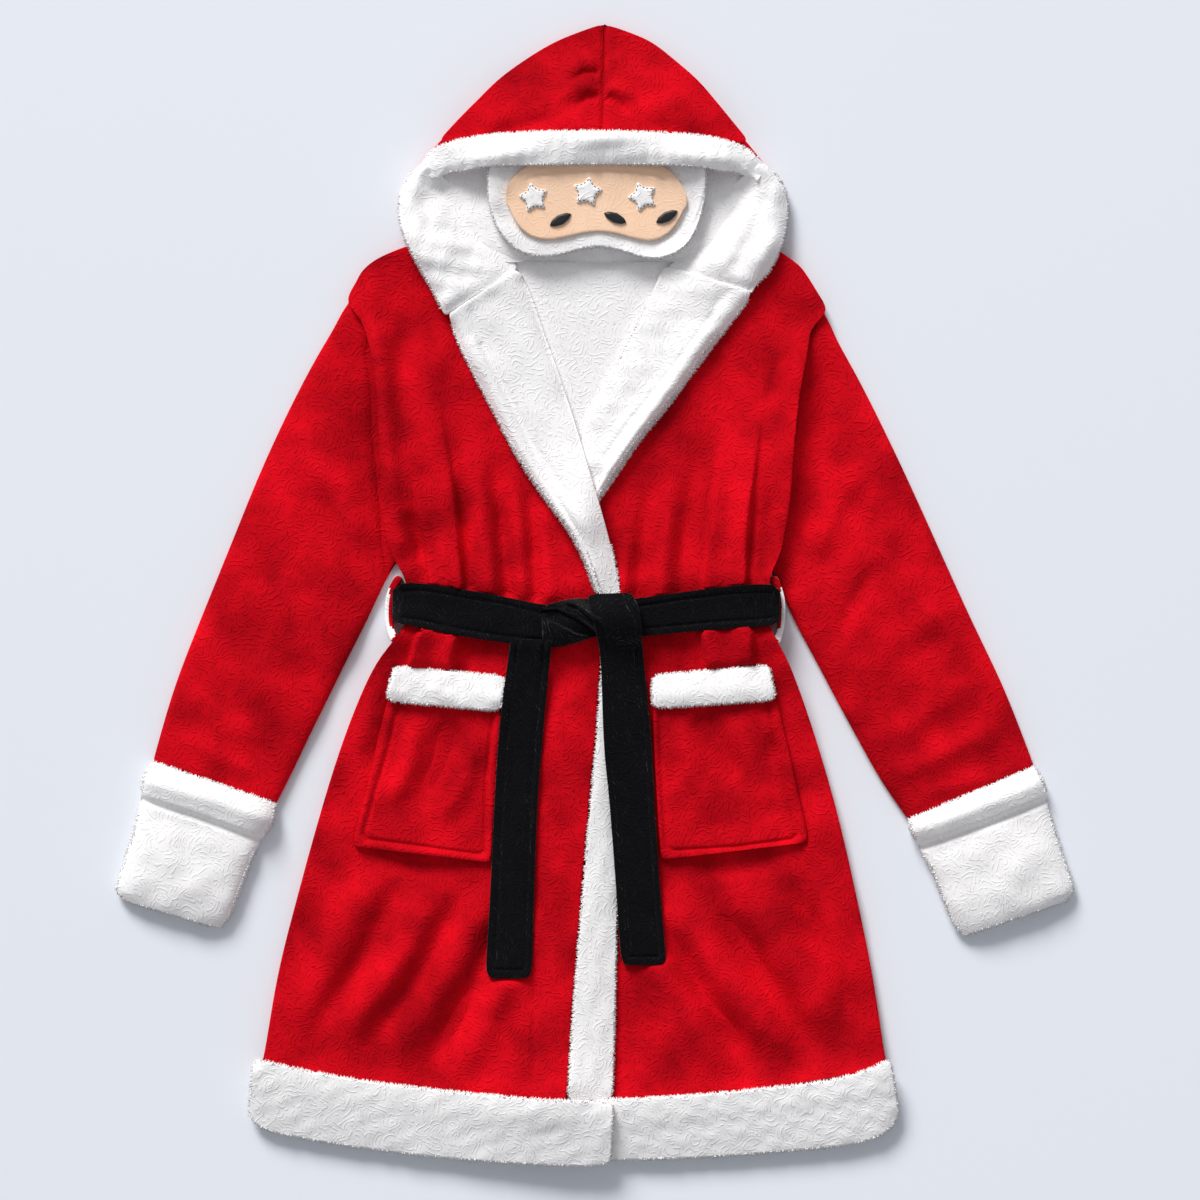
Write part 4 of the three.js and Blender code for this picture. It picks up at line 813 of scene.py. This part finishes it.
def patch_on_panel(name, material, sides, radius, hollow, stretch, place, turn):
    """A small padded patch: a ring of points drawn in at every other one, raised, crowned and
    rounded, then laid on the panel under it."""
    wall = 1.92
    crown_height = 1.6
    crown_inset = 0.16
    firmness = 0.45
    sunk = 0.3
    levels = 2
    bpy.ops.object.select_all(action="DESELECT")
    bpy.ops.mesh.primitive_circle_add(vertices=sides, radius=radius * MM, fill_type="NGON",
                                      location=(0, 0, 0))
    patch = bpy.context.active_object
    patch.name = name
    patch.data.name = name
    patch.data.materials.append(material)
    bpy.ops.object.mode_set(mode="EDIT")
    mesh = bmesh.from_edit_mesh(patch.data)
    for number, vertex in enumerate(mesh.verts):
        vertex.select_set(number % 2 == 1)
    mesh.select_flush(False)
    bmesh.update_edit_mesh(patch.data)
    bpy.ops.mesh.select_mode(type="VERT")
    bpy.ops.transform.resize(value=(hollow, hollow, 1), center_override=(0, 0, 0))
    bpy.ops.mesh.select_all(action="SELECT")
    bpy.ops.mesh.extrude_region_move(TRANSFORM_OT_translate={"value": (0, 0, wall * MM)})
    bpy.ops.mesh.inset(thickness=crown_inset * radius * MM, depth=crown_height * MM)
    bpy.ops.mesh.select_all(action="SELECT")
    bpy.ops.mesh.normals_make_consistent(inside=False)
    bpy.ops.transform.resize(value=(1, stretch, 1), center_override=(0, 0, 0))
    bpy.ops.transform.rotate(value=-turn, orient_axis="Z", center_override=(0, 0, 0))
    bpy.ops.transform.translate(value=(place[0] * MM, place[1] * MM, 0))
    bpy.ops.transform.edge_crease(value=firmness)
    bpy.ops.object.mode_set(mode="OBJECT")
    crown = patch.modifiers.new("crown", "SUBSURF")
    crown.levels = levels
    crown.render_levels = levels
    bpy.ops.object.modifier_apply(modifier="crown")
    bpy.ops.object.shade_smooth()
    for vertex in patch.data.vertices:
        _, spot, _, _ = panel.ray_cast((vertex.co.x, vertex.co.y, 1), (0, 0, -1))
        vertex.co.z += spot.z - sunk * MM
    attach(patch, ROOT)
    return patch


STAR_RADIUS = 16.5
STAR_HOLLOW = 0.58
STARS = [((-64, 414), 0.2), ((-8, 420), -0.15), ((50, 415), 0.35)]
stars = []
for number, (place, turn) in enumerate(STARS):
    star = patch_on_panel(f"flap_star_{number}", WHITE, 10, STAR_RADIUS, STAR_HOLLOW,
                          1.0, place, turn)
    stars.append(star)
LEAF_RADIUS = 13
LEAF_HOLLOW = 0.92
LEAF_STRETCH = 0.42
LEAVES = [((-36, 391), 0.5), ((21, 393), -0.4), ((75, 394), 0.5)]
for number, (place, turn) in enumerate(LEAVES):
    patch_on_panel(f"flap_leaf_{number}", SATIN, 8, LEAF_RADIUS, LEAF_HOLLOW,
                   LEAF_STRETCH, place, turn)

# Running stitch: dark polyester thread round each star, a little inside its edge, in dashes 2.4 mm
# long. The thread is rough, so that it looks matt beside the plush.
THREAD, _ = principled("dark_polyester_thread", {"Base Color": linear("#3a3d44"), "Roughness": 0.6})
DASH = 2.4
DASH_STEP = 1.6
THREAD_HALF = 0.45
THREAD_HEIGHT = 0.7
THREAD_SUNK = 0.1
INSIDE_EDGE = 0.84
INSIDE_HOLLOW = 1.12
stitch_points, stitch_faces = [], []
for (place, turn), star in zip(STARS, stars):
    corners = []
    for k in range(10):
        reach = INSIDE_EDGE * STAR_RADIUS * (1 if k % 2 == 0 else STAR_HOLLOW * INSIDE_HOLLOW)
        angle = math.pi / 2 + k * math.pi / 5 + turn
        corners.append((place[0] + reach * math.cos(angle), place[1] + reach * math.sin(angle)))
    for (ax, ay), (bx, by) in zip(corners, corners[1:] + corners[:1]):
        length = math.hypot(bx - ax, by - ay)
        ux, uy = (bx - ax) / length, (by - ay) / length
        count = max(1, int(length / (DASH_STEP * DASH)))
        for k in range(count):
            mid = (k + 0.5) * length / count
            start = len(stitch_points)
            for along, across, up in [(-1, -1, 0), (1, -1, 0), (1, 1, 0), (-1, 1, 0),
                                      (-0.8, -0.5, 1), (0.8, -0.5, 1), (0.8, 0.5, 1), (-0.8, 0.5, 1)]:
                x = ax + ux * (mid + along * DASH / 2) - uy * across * THREAD_HALF
                y = ay + uy * (mid + along * DASH / 2) + ux * across * THREAD_HALF
                _, spot, _, _ = star.ray_cast((x * MM, y * MM, 1), (0, 0, -1))
                height = spot.z + (THREAD_HEIGHT * up - THREAD_SUNK) * MM
                stitch_points.append((x * MM, y * MM, height))
            stitch_faces += [[start + n for n in quad] for quad in
                             [(3, 2, 1, 0), (4, 5, 6, 7), (0, 1, 5, 4), (1, 2, 6, 5),
                              (2, 3, 7, 6), (3, 0, 4, 7)]]
new_mesh("flap_star_stitches", stitch_points, stitch_faces, THREAD)

# Brim: white plush, the edge of the hood turned back across the forehead and deepest in the middle.
# Its ends run into the hood's sides, tucked a little under them.
BRIM_CREASES = [
    dict(line=[(-150, 452), (-110, 462), (-60, 466)], wide=9, high=2.5, fade=(0.2, 0.4)),
    dict(line=[(150, 452), (110, 461), (60, 465)], wide=9, high=2.5, fade=(0.2, 0.4)),
]
BRIM_TUCK = 3.5
BRIM_PULLS = [
    ([(-158, 426), (-146, 430)], (-6, 9, 0), 9),
    ([(155, 426), (143, 430)], (6, 9, 0), 9),
    (CORNER_RIGHT, (-5, -3, 0), 8),
    (CORNER_LEFT, (5, -3, 0), 8),
]
brim = softened("hood_brim", WHITE, 2)
for line, shift, width in BRIM_PULLS:
    pull(brim, line, shift, width)
crease(brim, BRIM_CREASES, seed=97, uneven=0.7, shortest=14, longest=50)
for corner in (CORNER_RIGHT, CORNER_LEFT):
    settle(brim, [(x, y, z - BRIM_TUCK) for x, y, z in corner], 13, 9)
declare_white(brim, "hood_brim", seed=97,
              bare=[CORNER_RIGHT, CORNER_LEFT])

# Tie belt: the front stretches, the knot and the two tails are one strap of black plush, 45 mm wide
# and sewn double, stitched 8 mm inside both edges. It is tied once over the gathered waist.
STITCHES = {
    "belt_right": [
        [(-200, 4), (-179, 4), (-137, -3), (-95, -10), (-53, -20), (-26, -20)],
        [(-200, -24), (-181, -27), (-140, -36), (-95, -43), (-52, -48)],
    ],
    "belt_left": [
        [(184, 2), (171, 3), (142, 1), (95, -5), (47, -12), (28, -14)],
        [(184, -24), (171, -26), (145, -27), (97, -31), (49, -36), (28, -37)],
    ],
    "belt_knot": [],
    "belt_tail_right": [
        [(-80, -47), (-83, -69), (-93, -153), (-97, -216), (-102, -321), (-106, -392), (-74, -392),
         (-72, -321), (-68, -216), (-63, -153), (-55, -69), (-52, -47)],
    ],
    "belt_tail_left": [
        [(1, -2), (4, -20), (10, -44), (14, -69), (17, -153), (23, -216), (31, -321), (36, -379),
         (66, -379), (61, -321), (54, -216), (51, -153), (43, -69), (41, -44), (38, -18), (31, 0)],
    ],
}
KNOT_CREASES = [
    dict(line=[(-62, -14), (-40, -12), (-18, -20), (2, -36)], wide=10, high=5, steep=-1, fade=(0.2, 0)),
    dict(line=[(-36, -6), (-18, -12), (0, -26)], wide=8, high=5, steep=-1, fade=(0.2, 0)),
    dict(line=[(-56, -24), (-40, -32), (-20, -42), (0, -46)], wide=9, high=4, steep=1, fade=(0.2, 0.2)),
    dict(line=[(-60, -18), (-40, -17), (-20, -26), (0, -40)], wide=2.5, high=-4, fade=(0.1, 0)),
]
STITCH_WIDTH = 1.9
STITCH_DEPTH = 1.9
KNOT_DEPTH = 1.5
BELT_ENDS = {
    "belt_right": ([(-207, 12), (-207, -32)], (-6, 0, 0), 12),
    "belt_left": ([(189, 10), (189, -33)], (4.5, 0, 0), 12),
}
for name, flat, rests, seed in [
    ("belt_right", (0.045, 0.22), "front_right", 101),
    ("belt_left", (0.045, 0.19), "front_left", 102),
    ("belt_knot", (0.045, 0.105), "belt_right", 103),
    ("belt_tail_right", (0.045, 0.36), "front_right", 104),
    ("belt_tail_left", (0.047, 0.41), "belt_knot", 105),
]:
    strap = softened(name, BLACK, 2)
    creases = [dict(line=line, wide=STITCH_WIDTH, high=-STITCH_DEPTH, fade=(0, 0))
               for line in STITCHES[name]]
    if name == "belt_knot":
        creases = [dict(fold, high=KNOT_DEPTH * fold["high"]) for fold in KNOT_CREASES]
    if name in BELT_ENDS:
        pull(strap, *BELT_ENDS[name])
    crease(strap, creases, seed, uneven=0.6, shortest=20, longest=70)
    declare(strap, name)

# Floor and light of a plain studio: a pale blue-grey painted surface, a soft key light from beyond the
# hood's end, even over the whole robe, a weaker broad one nearer the hood, and pale air all round.
FLOOR_SIZE = 12
PAINT, _ = principled("painted_studio_floor", {"Base Color": linear("#eceff5"), "Roughness": 0.9})
bpy.ops.object.select_all(action="DESELECT")
bpy.ops.mesh.primitive_plane_add(size=FLOOR_SIZE, location=(0, 0, -0.2 * MM))
floor = bpy.context.active_object
floor.name = "studio_floor"
floor.data.materials.append(PAINT)


def studio_light(name, kind, place, power, size):
    """A light that shines from a place on the robe's middle; a sun's size is its width in radians."""
    lamp = bpy.data.lights.new(name, kind)
    lamp.energy = power
    if kind == "SUN":
        lamp.angle = size
    else:
        lamp.size = size
    light = bpy.data.objects.new(name, lamp)
    light.location = place
    light.rotation_euler = (-Vector(place)).to_track_quat("-Z", "Y").to_euler()
    bpy.context.scene.collection.objects.link(light)


studio_light("key_light", "SUN", (-1.5, 3.7, 2.3), 3.15, 0.4)
studio_light("hood_light", "AREA", (-0.7, 2.6, 2.4), 14, 2.0)
world = bpy.data.worlds.new("studio_air")
world.use_nodes = True
world.node_tree.nodes["Background"].inputs["Color"].default_value = linear("#eef2f8")
world.node_tree.nodes["Background"].inputs["Strength"].default_value = 0.40
bpy.context.scene.world = world

# Camera: straight above the robe with a long lens, so that 1.26 m of floor fills the square picture.
# The view transform Standard keeps the red and the white as bright as the photo has them.
VIEW_WIDTH = 1.26
LENS = 135
SENSOR = 36
PHOTO_MIDDLE = (5.25, -5.9)
lens = bpy.data.cameras.new("studio_camera")
lens.lens = LENS
lens.sensor_width = SENSOR
lens.clip_end = 50
camera = bpy.data.objects.new("studio_camera", lens)
camera.location = (PHOTO_MIDDLE[0] * MM, PHOTO_MIDDLE[1] * MM, VIEW_WIDTH * LENS / SENSOR)
bpy.context.scene.collection.objects.link(camera)
bpy.context.scene.camera = camera
bpy.context.scene.view_settings.view_transform = "Standard"
